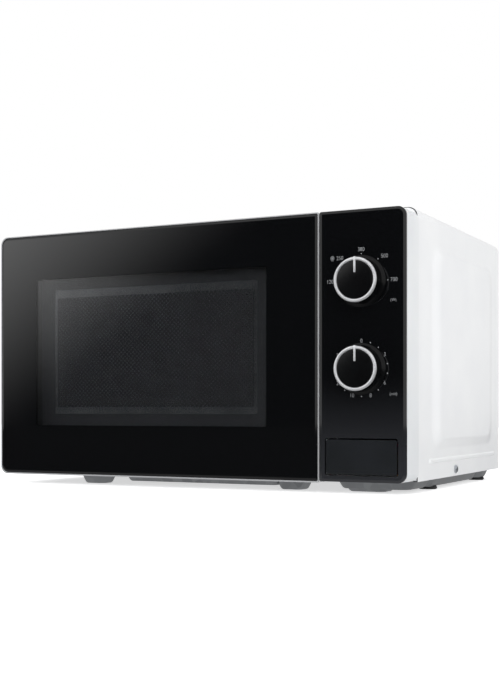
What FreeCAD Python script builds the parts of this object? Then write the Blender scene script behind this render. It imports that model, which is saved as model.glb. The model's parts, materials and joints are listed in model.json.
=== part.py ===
import FreeCAD, Part
import math
import os

# A countertop microwave oven with two dials and a push button that opens the door.
# Millimetres. +Z is up, -Y is the front, and the origin is under the middle of the
# bounding box, on the surface that the feet stand on.

# ---------------------------------------------------------------- overall sizes
FRONT_W = 440.0         # black front, door and control panel together
FRONT_H = 245.0
FRONT_R = 8.0           # outer corners of the front
STAND_H = 12.0          # lower edge of the front above the table
DOOR_D = 37.0           # front face to the steel front plate
CAB_D = 295.0           # steel front plate to the back of the cabinet
CAB_INSET = 1.5         # cabinet side behind the edge of the front
CAB_RISE = 4.7          # cabinet top above the front
CAB_R = 9.0             # bend at the cabinet's top corners
SHEET = 0.6             # all sheet steel
PANEL_W = 82.3          # control panel, to the middle of the split line
SPLIT_GAP = 0.7         # open gap between door and control panel
KNOB_OUT = 18.0         # knobs in front of the glass
SPACER_OUT = 7.0        # rear spacers behind the cabinet
DOOR_GAP = 0.6          # door and control housing to the front plate
FIT = 0.05              # radial clearance of every running fit
AIR = 0.3               # gap between faces that pass each other

# ---------------------------------------------------------------- cabinet pressings
PRESS_Y0 = 78.0         # raised side field, from the front face
PRESS_Y1 = 306.0
PRESS_Z0 = 27.5         # and from the lower edge of the front
PRESS_TOP = 24.0        # down from the top of the front
PRESS_OUT = 3.0
PRESS_SLOPE_Y = 25.0
PRESS_SLOPE_Z = 10.5
PRESS_R = 20.0
BEAD_Y0 = 73.0
BEAD_Y1 = 312.0
BEAD_Z = 17.0
BEAD_W = 5.0
BEAD_OUT = 1.0
SIDE_SCREW_Y = 160.0
SIDE_SCREW_Z = 6.2
FLANGE = 12.0           # folded edges of cabinet, base and front plate
CAB_FOLD = 4.0          # cabinet's fold under the base

# ---------------------------------------------------------------- cavity
CAV_LEFT = 28.0         # from the left edge of the front
CAV_RIGHT = 23.7        # from the split line
CAV_RAISE = 21.0        # floor above the lower edge of the front
CAV_TOP = 16.0          # ceiling below the top of the front
CAV_BACK = 7.0          # back wall to the back of the cabinet
RECESS_D = 3.0          # round pressing in the floor for the rollers
PORT_Y = 80.0           # waveguide port
PORT_Z = 36.0
WAVEGUIDE_D = 25.0
MAG_DOWN = 62.0         # magnetron axis below the top of the front
MAG_BACK = 165.0        # and behind the front plate

# ---------------------------------------------------------------- door
GLASS_T = 3.2
RIM = 0.9               # edge of the door frame that shows round the glass
RIM_LOW = 1.3           # the same under the glass
RIM_BACK = 0.4          # that edge behind the face of the glass
BEVEL_W = 2.5
BEVEL_D = 1.0
WALL = 2.5              # plastic walls
EDGE_R = 1.5            # corners of door and panel beside the split
WIN_LEFT = 44.7         # clear window from the door's left edge
WIN_RIGHT = 52.4        # and from the split line
WIN_LOW = 49.0
WIN_TOP = 46.3
BEZEL_GROW = 0.7        # bezel opening outside the clear window
SCREEN_Y = 12.8         # perforated plate behind the front face
SCREEN_T = 0.6
SCREEN_IN_X = 10.0      # perforated plate inside the clear window
SCREEN_IN_LOW = 7.0
SCREEN_IN_TOP = 5.7
SCREEN_SEAT = 5.0       # overlap of the plate on the inner door
PLATE_IN = 4.0          # inner door to the frame's walls
PLATE_Y = 30.0          # rear face region of the inner door
HAT_GROW = 8.0          # deep-drawn part of the inner door round the window
COVER_T = 3.0
COVER_IN = 0.5
HINGE_SIDE = 6.2        # hinge axis from the door's left face
HINGE_REAR = 8.0        # and from its rear face
PIN_R = 2.5
ARM_T = 1.6
ARM_IN = 14.0           # hinge arms from the top and bottom edges
ARM_FOOT = 30.0         # upright foot of each arm
ARM_NOSE_W = 1.7        # metal of the arm round the pin
ARM_LEFT = 2.5          # arm's sides from the hinge axis
ARM_RIGHT = 5.5
PIN_END = 7.0           # pin beyond the arm at each end
NOTCH_R = 13.5
NOTCH_AIR = 1.2

# ---------------------------------------------------------------- latch and button
HOOK_LOW = 59.0         # underside of the lower hook's arm
HOOK_HIGH = 56.0        # underside of the upper one, below the top edge
HOOK_H = 8.0
HOOK_W = 11.0
HOOK_X = 6.7            # hook's right side from the split line
HOOK_REACH = 16.0       # behind the front plate
TIP_L = 4.5
TIP_DROP = 3.0
HOOK_LIFT = 3.0
LEDGE_L = 10.0
KEY_BACK = 20.0         # sliding bar behind the front face
KEY_T = 6.0
KEY_SPRING_L = 22.0
LATCH_D = 28.0
BUTTON_X0 = 75.25       # from the right edge of the front
BUTTON_X1 = 8.45
BUTTON_Z0 = 6.85
BUTTON_Z1 = 38.15
BUTTON_GAP = 1.3
BUTTON_D = 20.0
RAIL_Z0 = 14.0          # cross rail that the button's spring pushes on
RAIL_Z1 = 26.0
RAIL_T = 2.5
RAIL_BACK = 31.0        # behind the front face
CAP_WALL = 2.2
LEVER_BELOW = 7.0       # lever pivot under the lower hook
LEVER_Y = 6.5           # and behind the front plate
LEVER_DROP = 24.0
LEVER_T = 3.6
LEVER_W = 6.0

# ---------------------------------------------------------------- dials
DIAL_IN = 41.4          # dial axes from the right edge
POWER_DOWN = 0.2649     # dial axes below the top, as parts of the front's height
TIMER_DOWN = 0.5849
KNOB_R = 20.0
SKIRT_W = 3.2           # base skirt outside the knob
RING_W = 3.0
RING_D = 2.5
POINTER_L = 14.0
POINTER_W = 2.0
SHAFT_R = 3.0
KNOB_GAP = 0.6

# ---------------------------------------------------------------- turntable
TRAY_GAP = 16.5         # tray edge to the nearest cavity wall
TRAY_T = 5.0
TRAY_RIM = 11.0
TRACK_IN = 30.5         # roller track inside the tray's edge
ROLLER_R = 8.0
ROLLER_W = 5.0
AXLE_R = 2.0
RING_TUBE = 5.0
HUB_R = 8.0
LOBE_R = 19.0
LOBE_W = 15.0
LUG_R = 3.5
DRIVE_R = 3.5
MOTOR_R = 25.0
MOTOR_H = 15.0

# ---------------------------------------------------------------- power parts
FAN_R = 42.0
FAN_DOWN = 72.0
FILTER_BELOW = 78.0     # noise filter under the fan's axis
FAN_BACK = 52.0         # shroud in front of the back of the cabinet
CORE = (84.0, 66.0, 72.0)
CORE_BACK = 78.0
CAN = (80.0, 32.0, 54.0)
CAN_FORWARD = 46.0      # capacitor's axis in front of the back
YOKE = (58.0, 92.0, 76.0)
ANODE_R = 17.0
LAMP_BACK = 80.0
LAMP_DOWN = 55.0
MOTOR_FORWARD = 34.0
FOOT_R = 9.0
FOOT_H = 3.0
FOOT_IN = 17.0
FOOT_LEFT = 150.0       # rubber feet behind the front face
FOOT_RIGHT = 124.0
FOOT_REAR = 300.0
FOOT_PAD = 16.0         # half length of the stamped pad that holds a rubber foot
STAMP_LOW = 0.4         # lowest stampings above the table
SCREW_R = 1.8
HEAD_R = 4.0
HEAD_T = 2.2

# ---------------------------------------------------------------- derived places
X0 = -FRONT_W / 2
X1 = FRONT_W / 2
Z0 = STAND_H
Z1 = STAND_H + FRONT_H
DEPTH = KNOB_OUT + DOOR_D + CAB_D + SPACER_OUT
YF = KNOB_OUT - DEPTH / 2
YC = YF + DOOR_D
YB = YC + CAB_D
SPLIT = X1 - PANEL_W
DOOR_X1 = SPLIT - SPLIT_GAP / 2
PANEL_X0 = SPLIT + SPLIT_GAP / 2
CX = X1 - CAB_INSET
CZ0 = Z0 - 0.5
CZ1 = Z1 + CAB_RISE
CAV_X0 = X0 + CAV_LEFT
CAV_X1 = SPLIT - CAV_RIGHT
CAV_Z0 = Z0 + CAV_RAISE
CAV_Z1 = Z1 - CAV_TOP
CAV_Y0 = YC + SHEET
CAV_Y1 = YB - CAV_BACK
CAV_CX = (CAV_X0 + CAV_X1) / 2
CAV_CY = (CAV_Y0 + CAV_Y1) / 2
BAY_X0 = CAV_X1 + SHEET
BAY_X1 = CX - SHEET
BAY_CX = (BAY_X0 + BAY_X1) / 2
BASE_Z = CZ0 + SHEET + 0.1
BASE_TOP = BASE_Z + SHEET
DIAL_X = X1 - DIAL_IN
POWER_Z = Z1 - POWER_DOWN * FRONT_H
TIMER_Z = Z1 - TIMER_DOWN * FRONT_H
HINGE_X = X0 + HINGE_SIDE
DOOR_YB = YC - DOOR_GAP
HINGE_Y = DOOR_YB - HINGE_REAR
ARM_NOSE = PIN_R + ARM_NOSE_W
SKIRT_R = KNOB_R + SKIRT_W
ARMS_Z = (Z0 + ARM_IN - ARM_T, Z1 - ARM_IN)
HOOKS_Z = (Z0 + HOOK_LOW, Z1 - HOOK_HIGH)
HOOK_X1 = SPLIT - HOOK_X
HOOK_X0 = HOOK_X1 - HOOK_W
LEVER_Z = HOOKS_Z[0] - LEVER_BELOW
TRAY_R = min(CAV_X1 - CAV_X0, CAV_Y1 - CAV_Y0) / 2 - TRAY_GAP
TRACK_R = TRAY_R - TRACK_IN
RECESS_R = TRACK_R + 15.0
RECESS_Z = CAV_Z0 - RECESS_D
ROLLER_Z = RECESS_Z + AIR + ROLLER_R
TRAY_Z = ROLLER_Z + ROLLER_R + AIR
MAG_Y = YC + MAG_BACK
MAG_Z = Z1 - MAG_DOWN
FAN_Z = Z1 - FAN_DOWN
FILTER_Z = FAN_Z - FILTER_BELOW
FAN_Y = YB - FAN_BACK
WIN = (X0 + WIN_LEFT, SPLIT - WIN_RIGHT, Z0 + WIN_LOW, Z1 - WIN_TOP)
SCREEN = (WIN[0] + SCREEN_IN_X, WIN[1] - SCREEN_IN_X, WIN[2] + SCREEN_IN_LOW, WIN[3] - SCREEN_IN_TOP)
DOOR_RADII = (FRONT_R, EDGE_R, EDGE_R, FRONT_R)
DOOR_RECT = (X0, DOOR_X1, Z0 - RIM_LOW, Z1)
GLASS_RECT = (X0 + RIM, DOOR_X1 - RIM, Z0, Z1 - RIM)
PANEL_RADII = (EDGE_R, FRONT_R, FRONT_R, EDGE_R)
PANEL_RECT = (PANEL_X0, X1, Z0, Z1)
BUTTON = (X1 - BUTTON_X0, X1 - BUTTON_X1, Z0 + BUTTON_Z0, Z0 + BUTTON_Z1)
DIALS_Z = (POWER_Z, TIMER_Z)
KEY_Y0 = YF + KEY_BACK
KEY_Y1 = KEY_Y0 + KEY_T
KEY_TOP = HOOKS_Z[1] + HOOK_H + 4.0
SPRING_TOP = KEY_TOP + KEY_SPRING_L
GLAND = (BAY_X1 - 30.0, Z0 + 92.0)
LAMP_Y = YC + LAMP_BACK
LAMP_Z = Z1 - LAMP_DOWN
MAG_X0 = BAY_X0 + WAVEGUIDE_D
CORE_Y = YC + CORE_BACK
CAN_Y = YB - CAN_FORWARD
CAN_Z = BASE_TOP + 1.2
MOTOR_Y = YB - 2 * SHEET - MOTOR_FORWARD
ROLLER_TURNS = (90.0, 210.0, 330.0)


# ---------------------------------------------------------------- helpers
def vec(x, y, z):
    return FreeCAD.Vector(x, y, z)


def box(x0, x1, y0, y1, z0, z1):
    return Part.makeBox(x1 - x0, y1 - y0, z1 - z0, vec(x0, y0, z0))


def rod_x(x0, x1, y, z, r):
    return Part.makeCylinder(r, x1 - x0, vec(x0, y, z), vec(1, 0, 0))


def rod_y(x, y0, y1, z, r):
    return Part.makeCylinder(r, y1 - y0, vec(x, y0, z), vec(0, 1, 0))


def rod_z(x, y, z0, z1, r):
    return Part.makeCylinder(r, z1 - z0, vec(x, y, z0), vec(0, 0, 1))


def join(shapes):
    """One solid from solids that touch or overlap."""
    shapes = list(shapes)
    whole = shapes[0]
    if len(shapes) > 1:
        whole = whole.fuse(shapes[1:])
    return whole.removeSplitter()


def less(shape, cutters):
    cutters = list(cutters)
    return shape.cut(cutters) if cutters else shape


def at(axis, a, b, t):
    """Point on the plane t of an axis: a and b are the other two coordinates in order."""
    return {"x": vec(t, a, b), "y": vec(a, t, b), "z": vec(a, b, t)}[axis]


def outline(axis, rect, t, radii):
    """Closed rectangle a0, a1, b0, b1 with four corner radii, from a0 b0 round by a1 b0."""
    a0, a1, b0, b1 = rect
    if not isinstance(radii, tuple):
        radii = (radii,) * 4
    corners = ((a0, b0, 1, 1), (a1, b0, -1, 1), (a1, b1, -1, -1), (a0, b1, 1, -1))
    ends = []
    edges = []
    for turn, ((a, b, sa, sb), r) in enumerate(zip(corners, radii)):
        along_a = at(axis, a + sa * r, b, t)
        along_b = at(axis, a, b + sb * r, t)
        first, last = (along_b, along_a) if turn % 2 == 0 else (along_a, along_b)
        ends.append((first, last))
        if r > 0:
            k = r * (1 - math.sqrt(0.5))
            edges.append(Part.Arc(first, at(axis, a + sa * k, b + sb * k, t), last).toShape())
        else:
            edges.append(None)
    path = []
    for turn in range(4):
        if edges[turn]:
            path.append(edges[turn])
        path.append(Part.makeLine(ends[turn][1], ends[(turn + 1) % 4][0]))
    return Part.Wire(path)


def slab(axis, rect, t0, t1, radii=0.0):
    """Prism of a rounded rectangle from t0 to t1 along the axis."""
    return Part.Face(outline(axis, rect, t0, radii)).extrude(at(axis, 0, 0, t1 - t0))


def grown(rect, d):
    return (rect[0] - d, rect[1] + d, rect[2] - d, rect[3] + d)


def frame(axis, rect, t0, t1, wall, radii=0.0):
    """Ring of the given wall inside a rounded rectangle."""
    if not isinstance(radii, tuple):
        radii = (radii,) * 4
    inner = tuple(max(r - wall, 0.0) for r in radii)
    lo, hi = min(t0, t1), max(t0, t1)
    hole = slab(axis, grown(rect, -wall), lo - 1, hi + 1, inner)
    return slab(axis, rect, lo, hi, radii).cut(hole)


def pressing(axis, rect, t0, t1, slopes, r, steps=8):
    """Pressed field with an S-curved wall, from its outline at t0 to a smaller one at t1."""
    wires = []
    for i in range(steps + 1):
        u = i / steps
        da = slopes[0] * u
        db = slopes[1] * u
        ring = (rect[0] + da, rect[1] - da, rect[2] + db, rect[3] - db)
        limit = 0.45 * min(ring[1] - ring[0], ring[3] - ring[2])
        rise = u * u * (3 - 2 * u)
        wires.append(outline(axis, ring, t0 + (t1 - t0) * rise, min(r * (1 - 0.45 * u), limit)))
    return Part.makeLoft(wires, True, True)


def turned(profile, x, y, z, axis):
    """Solid of revolution: profile points are (radius, distance along the axis)."""
    pts = [vec(r, 0, h) for r, h in profile]
    face = Part.Face(Part.makePolygon(pts + pts[:1]))
    body = face.revolve(vec(0, 0, 0), vec(0, 0, 1), 360)
    body.Placement = FreeCAD.Placement(vec(x, y, z), FreeCAD.Rotation(vec(0, 0, 1), axis))
    return body


def turn_about(shape, x, y, degrees):
    copy = shape.copy()
    copy.rotate(vec(x, y, 0), vec(0, 0, 1), degrees)
    return copy


def moved(shape, x, y, z):
    copy = shape.copy()
    copy.translate(vec(x, y, z))
    return copy


def mirrored(shape):
    return shape.mirror(vec(0, 0, 0), vec(1, 0, 0))


def slots(axis, a_list, b_list, half_a, half_b, t0, t1):
    """Grid of rounded slots as cutters."""
    r = min(half_a, half_b) * 0.98
    tools = []
    for a in a_list:
        for b in b_list:
            rect = (a - half_a, a + half_a, b - half_b, b + half_b)
            tools.append(slab(axis, rect, t0, t1, r))
    return tools


def spread(first, last, pitch):
    """Evenly spaced places from first towards last."""
    count = int((last - first) / pitch + 0.001) + 1
    return [first + i * pitch for i in range(count)]


def save(name, shape):
    solids = shape.Solids
    if not solids or not shape.isValid():
        raise RuntimeError(name + " is not a valid solid")
    if min(s.Volume for s in solids) <= 0:
        raise RuntimeError(name + " has a solid that is inside out")
    out = solids[0] if len(solids) == 1 else Part.makeCompound(solids)
    out.exportStep("parts/" + name + ".step")
    print(name, len(solids), round(shape.Volume / 1000, 2), "cm3")


# ---------------------------------------------------------------- cabinet and chassis
def feet_places():
    """Centres of the rubber feet: front left, rear left, front right, rear right."""
    x = CX - FOOT_IN
    return [(-x, YF + FOOT_LEFT), (-x, YF + FOOT_REAR), (x, YF + FOOT_RIGHT), (x, YF + FOOT_REAR)]


def screw(length):
    """Pan-head screw, head on +Z, seat at the origin."""
    shank = rod_z(0, 0, -length, 0, SCREW_R)
    profile = [(0, 0), (HEAD_R, 0), (HEAD_R, 1.2), (HEAD_R - 1.4, HEAD_T), (0, HEAD_T)]
    head = turned(profile, 0, 0, 0, vec(0, 0, 1))
    cross = [box(-0.5, 0.5, -2, 2, HEAD_T - 1.0, HEAD_T + 1), box(-2, 2, -0.5, 0.5, HEAD_T - 1.0, HEAD_T + 1)]
    return less(join([shank, head]), cross)


def rear_screw_places():
    x = BAY_X1 - FLANGE / 2
    z_low = Z0 + 24.0
    z_high = CZ1 - SHEET - FLANGE / 2
    return [(-x, z_low), (x, z_low), (-x, z_high - 60), (x, z_high - 60), (-x / 3, z_high), (x / 3, z_high)]


def screw_holes():
    tools = [rod_y(x, YB - 12, YB + 1, z, SCREW_R) for x, z in rear_screw_places()]
    y, z = YF + SIDE_SCREW_Y, Z0 + SIDE_SCREW_Z
    tools.append(rod_x(CX - 9, CX + 1, y, z, SCREW_R))
    tools.append(rod_x(-CX - 1, -CX + 9, y, z, SCREW_R))
    return tools


def cabinet_screws():
    made = []
    for x, z in rear_screw_places():
        one = screw(7.0)
        one.Placement = FreeCAD.Placement(vec(x, YB, z), FreeCAD.Rotation(vec(0, 0, 1), vec(0, 1, 0)))
        made.append(one)
    for side in (-1, 1):
        one = screw(5.0)
        place = vec(side * CX, YF + SIDE_SCREW_Y, Z0 + SIDE_SCREW_Z)
        one.Placement = FreeCAD.Placement(place, FreeCAD.Rotation(vec(0, 0, 1), vec(side, 0, 0)))
        made.append(one)
    return Part.makeCompound(made)


def side_pressings(shift):
    """Raised field and bead of the right side, moved inwards by shift."""
    x = CX - shift
    field = (YF + PRESS_Y0, YF + PRESS_Y1, Z0 + PRESS_Z0, Z1 - PRESS_TOP)
    bead = (YF + BEAD_Y0, YF + BEAD_Y1, Z0 + BEAD_Z - BEAD_W / 2, Z0 + BEAD_Z + BEAD_W / 2)
    raised = pressing("x", field, x, x + PRESS_OUT, (PRESS_SLOPE_Y, PRESS_SLOPE_Z), PRESS_R)
    line = pressing("x", bead, x, x + BEAD_OUT, (BEAD_W / 3, BEAD_W / 3), BEAD_W * 0.45)
    return [raised, line]


def outer_cabinet():
    rect = (-CX, CX, CZ0, CZ1)
    y0, y1 = YC + 1.0, YB
    wrap = slab("y", rect, y0, y1, (0, 0, CAB_R, CAB_R))
    inner_r = CAB_R - SHEET
    inside = (-CX + SHEET, CX - SHEET, CZ0 - 1, CZ1 - SHEET)
    hollow = slab("y", inside, y0 - 1, y1 - SHEET, (0, 0, inner_r, inner_r))
    wrap = wrap.cut(hollow)
    window = (-CX + FLANGE, CX - FLANGE, CZ0 - 1, CZ1 - FLANGE)
    wrap = wrap.cut(slab("y", window, y1 - SHEET - 1, y1 + 1))
    folds = [box(x, x + CAB_FOLD, y0, y1, CZ0, CZ0 + SHEET) for x in (-CX, CX - CAB_FOLD)]
    outer = side_pressings(0.0)
    inner = side_pressings(SHEET)
    wrap = join([wrap] + folds + outer + [mirrored(s) for s in outer])
    wrap = less(wrap, inner + [mirrored(s) for s in inner])
    return less(wrap, screw_holes())


def base_pressings(lift):
    """Stamped feet, ridge, corner and rails of the base, raised by lift for the inner side."""
    top = BASE_Z + lift
    y = YC + 3.0
    side = (X1 - 42, CX - CAB_FOLD - 0.5)
    other = (-side[1], -side[0])
    rear = (YF + FOOT_REAR - FOOT_PAD, YF + FOOT_REAR + FOOT_PAD)
    fields = [
        ((X0 + 67, X0 + 104), (y, y + 34), STAMP_LOW, 12, (7, 7)),
        ((X0 + 124, X0 + 300), (y, y + 26), 4.0, 8, (6, 6)),
        ((X0 + 292, X0 + 327), (y, y + 34), STAMP_LOW, 10, (7, 7)),
        ((X1 - 87, side[1]), (y, y + 70), FOOT_H, 18, (8, 8)),
        ((X1 - 80, X1 - 30), (y + 3, y + 44), STAMP_LOW, 10, (8, 8)),
        (side, (y + 60, YF + 268), FOOT_H, 8, (6, 8)),
        (other, (YF + FOOT_LEFT - FOOT_PAD, YF + 268), FOOT_H, 8, (6, 8)),
        (side, rear, FOOT_H, 8, (6, 6)),
        (other, rear, FOOT_H, 8, (6, 6)),
    ]
    made = []
    for xs, ys, low, r, slopes in fields:
        rect = grown((xs[0], xs[1], ys[0], ys[1]), -lift)
        made.append(pressing("z", rect, top, low + lift, slopes, r - lift, 5))
    return made


def base_plate():
    y0, y1 = YC + 1.5, YB - 2 * SHEET - 0.4
    x = BAY_X1
    floor = box(-x, x, y0, y1, BASE_Z, BASE_TOP)
    sides = [box(-x, -x + SHEET, y0 + FLANGE, y1, BASE_Z, BASE_Z + FLANGE),
             box(x - SHEET, x, y0 + FLANGE, y1, BASE_Z, BASE_Z + FLANGE)]
    plate = join([floor] + sides + base_pressings(0.0))
    plate = less(plate, base_pressings(SHEET) + screw_holes())
    rows = spread(YB - 130, YB - 100, 15.0)
    vents = slots("z", spread(BAY_X0 + 12, BAY_X1 - 46, 9.0), rows, 2.0, 5.0, BASE_Z - 1, BASE_TOP + 1)
    stems = [rod_z(px, py, 0, BASE_TOP + 1, 2.0) for px, py in feet_places()]
    return less(plate, vents + stems)


def rubber_feet():
    made = []
    for x, y in feet_places():
        profile = [(0, 0), (FOOT_R - 1, 0), (FOOT_R, 1), (FOOT_R - 0.6, FOOT_H), (0, FOOT_H)]
        pad = turned(profile, x, y, 0, vec(0, 0, 1))
        made.append(join([pad, rod_z(x, y, FOOT_H, FOOT_H + 3.0, 2.0)]))
    return Part.makeCompound(made)


def hook_slots(y0, y1):
    """Cutters for both hooks, with room for the lift and the door's swing."""
    made = []
    for z in HOOKS_Z:
        made.append(box(HOOK_X0 - 1.6, HOOK_X1 + 1.6, y0, y1, z - TIP_DROP - 2, z + HOOK_H + HOOK_LIFT + 1.6))
    return made


def front_plate():
    x = BAY_X1 - 0.4
    z_low, z_high = BASE_TOP, CZ1 - SHEET - 0.2
    rect = (-x, x, z_low, z_high)
    corner = CAB_R - SHEET
    plate = slab("y", rect, YC, YC + SHEET, (0, 0, corner, corner))
    edge = frame("y", rect, YC + SHEET, YC + FLANGE, SHEET, (0, 0, corner, corner))
    edge = edge.cut(box(-x - 1, x + 1, YC, YC + FLANGE + 1, z_low - 1, z_low + 4))
    plate = join([plate, edge])
    mouth = slab("y", (CAV_X0, CAV_X1, CAV_Z0, CAV_Z1), YC - 1, YC + SHEET + 1, 0)
    bay = box(PANEL_X0 + 5.1, X1 - 9, YC - 1, YC + SHEET + 1, Z0 + 10, Z1 - 10)
    arm_x = (HINGE_X - ARM_LEFT - 0.4, HINGE_X + ARM_RIGHT + 0.4)
    arms = [box(arm_x[0], arm_x[1], YC - 1, YC + SHEET + 1, z - AIR, z + ARM_T + AIR) for z in ARMS_Z]
    return less(plate, [mouth, bay] + arms + hook_slots(YC - 1, YC + SHEET + 1))


def hinge_brackets():
    """Two arms that reach through the front plate to the door's pins."""
    made = []
    x0 = HINGE_X - ARM_LEFT
    back = YC + SHEET
    for z, rise in zip(ARMS_Z, (ARM_FOOT, -ARM_FOOT)):
        reach = box(x0, HINGE_X + ARM_RIGHT, HINGE_Y, back + ARM_T, z, z + ARM_T)
        nose = rod_z(HINGE_X, HINGE_Y, z, z + ARM_T, ARM_NOSE)
        low, high = (z, z + rise) if rise > 0 else (z + ARM_T + rise, z + ARM_T)
        foot = box(x0, CAV_X0 - SHEET - 0.5, back, back + ARM_T, low, high)
        eye = rod_z(HINGE_X, HINGE_Y, z - 1, z + ARM_T + 1, PIN_R + FIT)
        made.append(less(join([reach, nose, foot]), [eye]))
    return Part.makeCompound(made)


def back_panel():
    x = BAY_X1 - 0.3
    y1 = YB - SHEET
    plate = slab("y", (-x, x, BASE_TOP, CZ1 - SHEET - 0.3), y1 - SHEET, y1, (0, 0, CAB_R - 1.5, CAB_R - 1.5))
    columns = spread(BAY_X0 + 16, BAY_X1 - 20, 7.0)
    cuts = slots("y", columns, [FAN_Z - 24, FAN_Z, FAN_Z + 24], 1.8, 9.0, y1 - 2, y1 + 1)
    cuts += slots("y", spread(X0 + 36, X0 + 106, 7.0), [Z1 - 50, Z1 - 28], 1.8, 8.0, y1 - 2, y1 + 1)
    cuts.append(rod_y(GLAND[0], y1 - 2, y1 + 1, GLAND[1], 9.0))
    return less(plate, cuts + screw_holes())


def cord_gland():
    """Bush in the back panel where a mains cord would enter."""
    x, z = GLAND
    y1 = YB - SHEET
    profile = [(3.6, -4), (11, -4), (11, -SHEET - 0.02), (9, -SHEET - 0.02), (9, 0), (11.5, 0)]
    profile += [(11.5, 2), (10.5, 3), (3.6, 3)]
    return turned(profile, x, y1, z, vec(0, 1, 0))


def rear_spacers():
    made = []
    for side in (-1, 1):
        profile = [(0, 0), (12, 0), (12, 1.5), (8, 3), (7, SPACER_OUT + SHEET), (0, SPACER_OUT + SHEET)]
        made.append(turned(profile, side * FRONT_W / 3.2, YB - SHEET, Z1 - 70, vec(0, 1, 0)))
    return Part.makeCompound(made)


# ---------------------------------------------------------------- cavity and turntable
def cavity():
    rect = (CAV_X0, CAV_X1, CAV_Z0, CAV_Z1)
    outer = box(CAV_X0 - SHEET, CAV_X1 + SHEET, CAV_Y0, CAV_Y1 + SHEET, CAV_Z0 - SHEET, CAV_Z1 + SHEET)
    inner = box(CAV_X0, CAV_X1, CAV_Y0 - 1, CAV_Y1, rect[2], rect[3])
    dish = Part.makeCone(RECESS_R - 3, RECESS_R, RECESS_D, vec(CAV_CX, CAV_CY, RECESS_Z))
    under = moved(dish, 0, 0, -SHEET)
    liner = join([outer, under]).cut(inner).cut(dish)
    y, z = PORT_Y / 2, PORT_Z / 2
    port = box(CAV_X1 - 1, CAV_X1 + 2, MAG_Y - y, MAG_Y + y, MAG_Z - z, MAG_Z + z)
    hub = rod_z(CAV_CX, CAV_CY, RECESS_Z - 2, RECESS_Z + 1, HUB_R)
    lamp = [rod_x(CAV_X1 - 1, CAV_X1 + 2, LAMP_Y + dy, LAMP_Z + dz, 1.6)
            for dy in spread(-12.0, 12.0, 6.0) for dz in spread(-12.0, 12.0, 6.0)]
    vents = [rod_x(CAV_X0 - 2, CAV_X0 + 1, CAV_Y1 - 60 + dy, CAV_Z1 - 30 + dz, 1.6)
             for dy in spread(0.0, 36.0, 6.0) for dz in spread(-12.0, 12.0, 6.0)]
    return less(liner, [port, hub] + lamp + vents)


def mica_cover():
    y, z = PORT_Y / 2 + 9, PORT_Z / 2 + 9
    return slab("x", (MAG_Y - y, MAG_Y + y, MAG_Z - z, MAG_Z + z), CAV_X1 - 0.5, CAV_X1, 3.0)


def about_hub(shape, turn):
    return turn_about(shape, CAV_CX, CAV_CY, turn)


def turntable_motor():
    top = RECESS_Z - SHEET
    can = rod_z(CAV_CX, CAV_CY, top - MOTOR_H, top - 1.0, MOTOR_R)
    reach = MOTOR_R + 8
    ears = slab("z", (CAV_CX - reach, CAV_CX + reach, CAV_CY - 6, CAV_CY + 6), top - 1.0, top, 5.0)
    bore = rod_z(CAV_CX, CAV_CY, top - 9.0, top + 1, DRIVE_R + FIT)
    return less(join([can, ears]), [bore])


def drive_hub():
    """Coupler between the motor and the tray."""
    top = RECESS_Z - SHEET
    shaft = rod_z(CAV_CX, CAV_CY, top - 8.5, RECESS_Z + 3.0, DRIVE_R)
    core = rod_z(CAV_CX, CAV_CY, RECESS_Z + 2.0, TRAY_Z - 0.6, HUB_R)
    lobe = box(CAV_CX, CAV_CX + LOBE_R, CAV_CY - LOBE_W / 2, CAV_CY + LOBE_W / 2, TRAY_Z - 8.6, TRAY_Z - 0.6)
    lobe = lobe.common(rod_z(CAV_CX, CAV_CY, TRAY_Z - 9, TRAY_Z, LOBE_R))
    lobes = [about_hub(lobe, turn) for turn in ROLLER_TURNS]
    return join([shaft, core] + lobes)


def glass_tray():
    profile = [(0, 0), (TRAY_R - 8, 0), (TRAY_R - 3, TRAY_RIM - TRAY_T),
               (TRAY_R, TRAY_RIM - 1), (TRAY_R, TRAY_RIM),
               (TRAY_R - 4, TRAY_RIM), (TRAY_R - 10, TRAY_T), (0, TRAY_T)]
    dish = turned(profile, CAV_CX, CAV_CY, TRAY_Z, vec(0, 0, 1))
    lug = rod_z(CAV_CX + LOBE_R - LUG_R - 1, CAV_CY, TRAY_Z - 6.0, TRAY_Z + 1, LUG_R)
    lugs = [about_hub(lug, turn + 60) for turn in ROLLER_TURNS]
    return join([dish] + lugs)


def roller_ring():
    r = TRACK_R - ROLLER_W / 2 - 2.0
    half = RING_TUBE / 2
    profile = [(r - RING_TUBE, -half), (r, -half), (r, half), (r - RING_TUBE, half)]
    ring = turned(profile, CAV_CX, CAV_CY, ROLLER_Z, vec(0, 0, 1))
    axle = rod_x(CAV_CX + r - 1, CAV_CX + TRACK_R + ROLLER_W / 2 + 1.5, CAV_CY, ROLLER_Z, AXLE_R)
    return join([ring] + [about_hub(axle, turn) for turn in ROLLER_TURNS])


def roller(turn):
    middle = CAV_CX + TRACK_R
    wheel = rod_x(middle - ROLLER_W / 2, middle + ROLLER_W / 2, CAV_CY, ROLLER_Z, ROLLER_R)
    bore = rod_x(CAV_CX + TRACK_R - ROLLER_W, CAV_CX + TRACK_R + ROLLER_W, CAV_CY, ROLLER_Z, AXLE_R + FIT)
    return about_hub(wheel.cut(bore), turn)


# ---------------------------------------------------------------- microwave source and fan
def waveguide():
    x0, x1 = BAY_X0, BAY_X0 + WAVEGUIDE_D
    y, z = PORT_Y / 2 + 8, PORT_Z / 2 + 24
    shell = box(x0, x1, MAG_Y - y, MAG_Y + y, MAG_Z - z, MAG_Z + z)
    iy, iz = y - SHEET, z - SHEET
    hollow = box(x0 - 1, x1 - SHEET, MAG_Y - iy, MAG_Y + iy, MAG_Z - iz, MAG_Z + iz)
    return less(shell, [hollow, rod_x(x0, x1 + 1, MAG_Y, MAG_Z, 14.0)])


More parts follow.
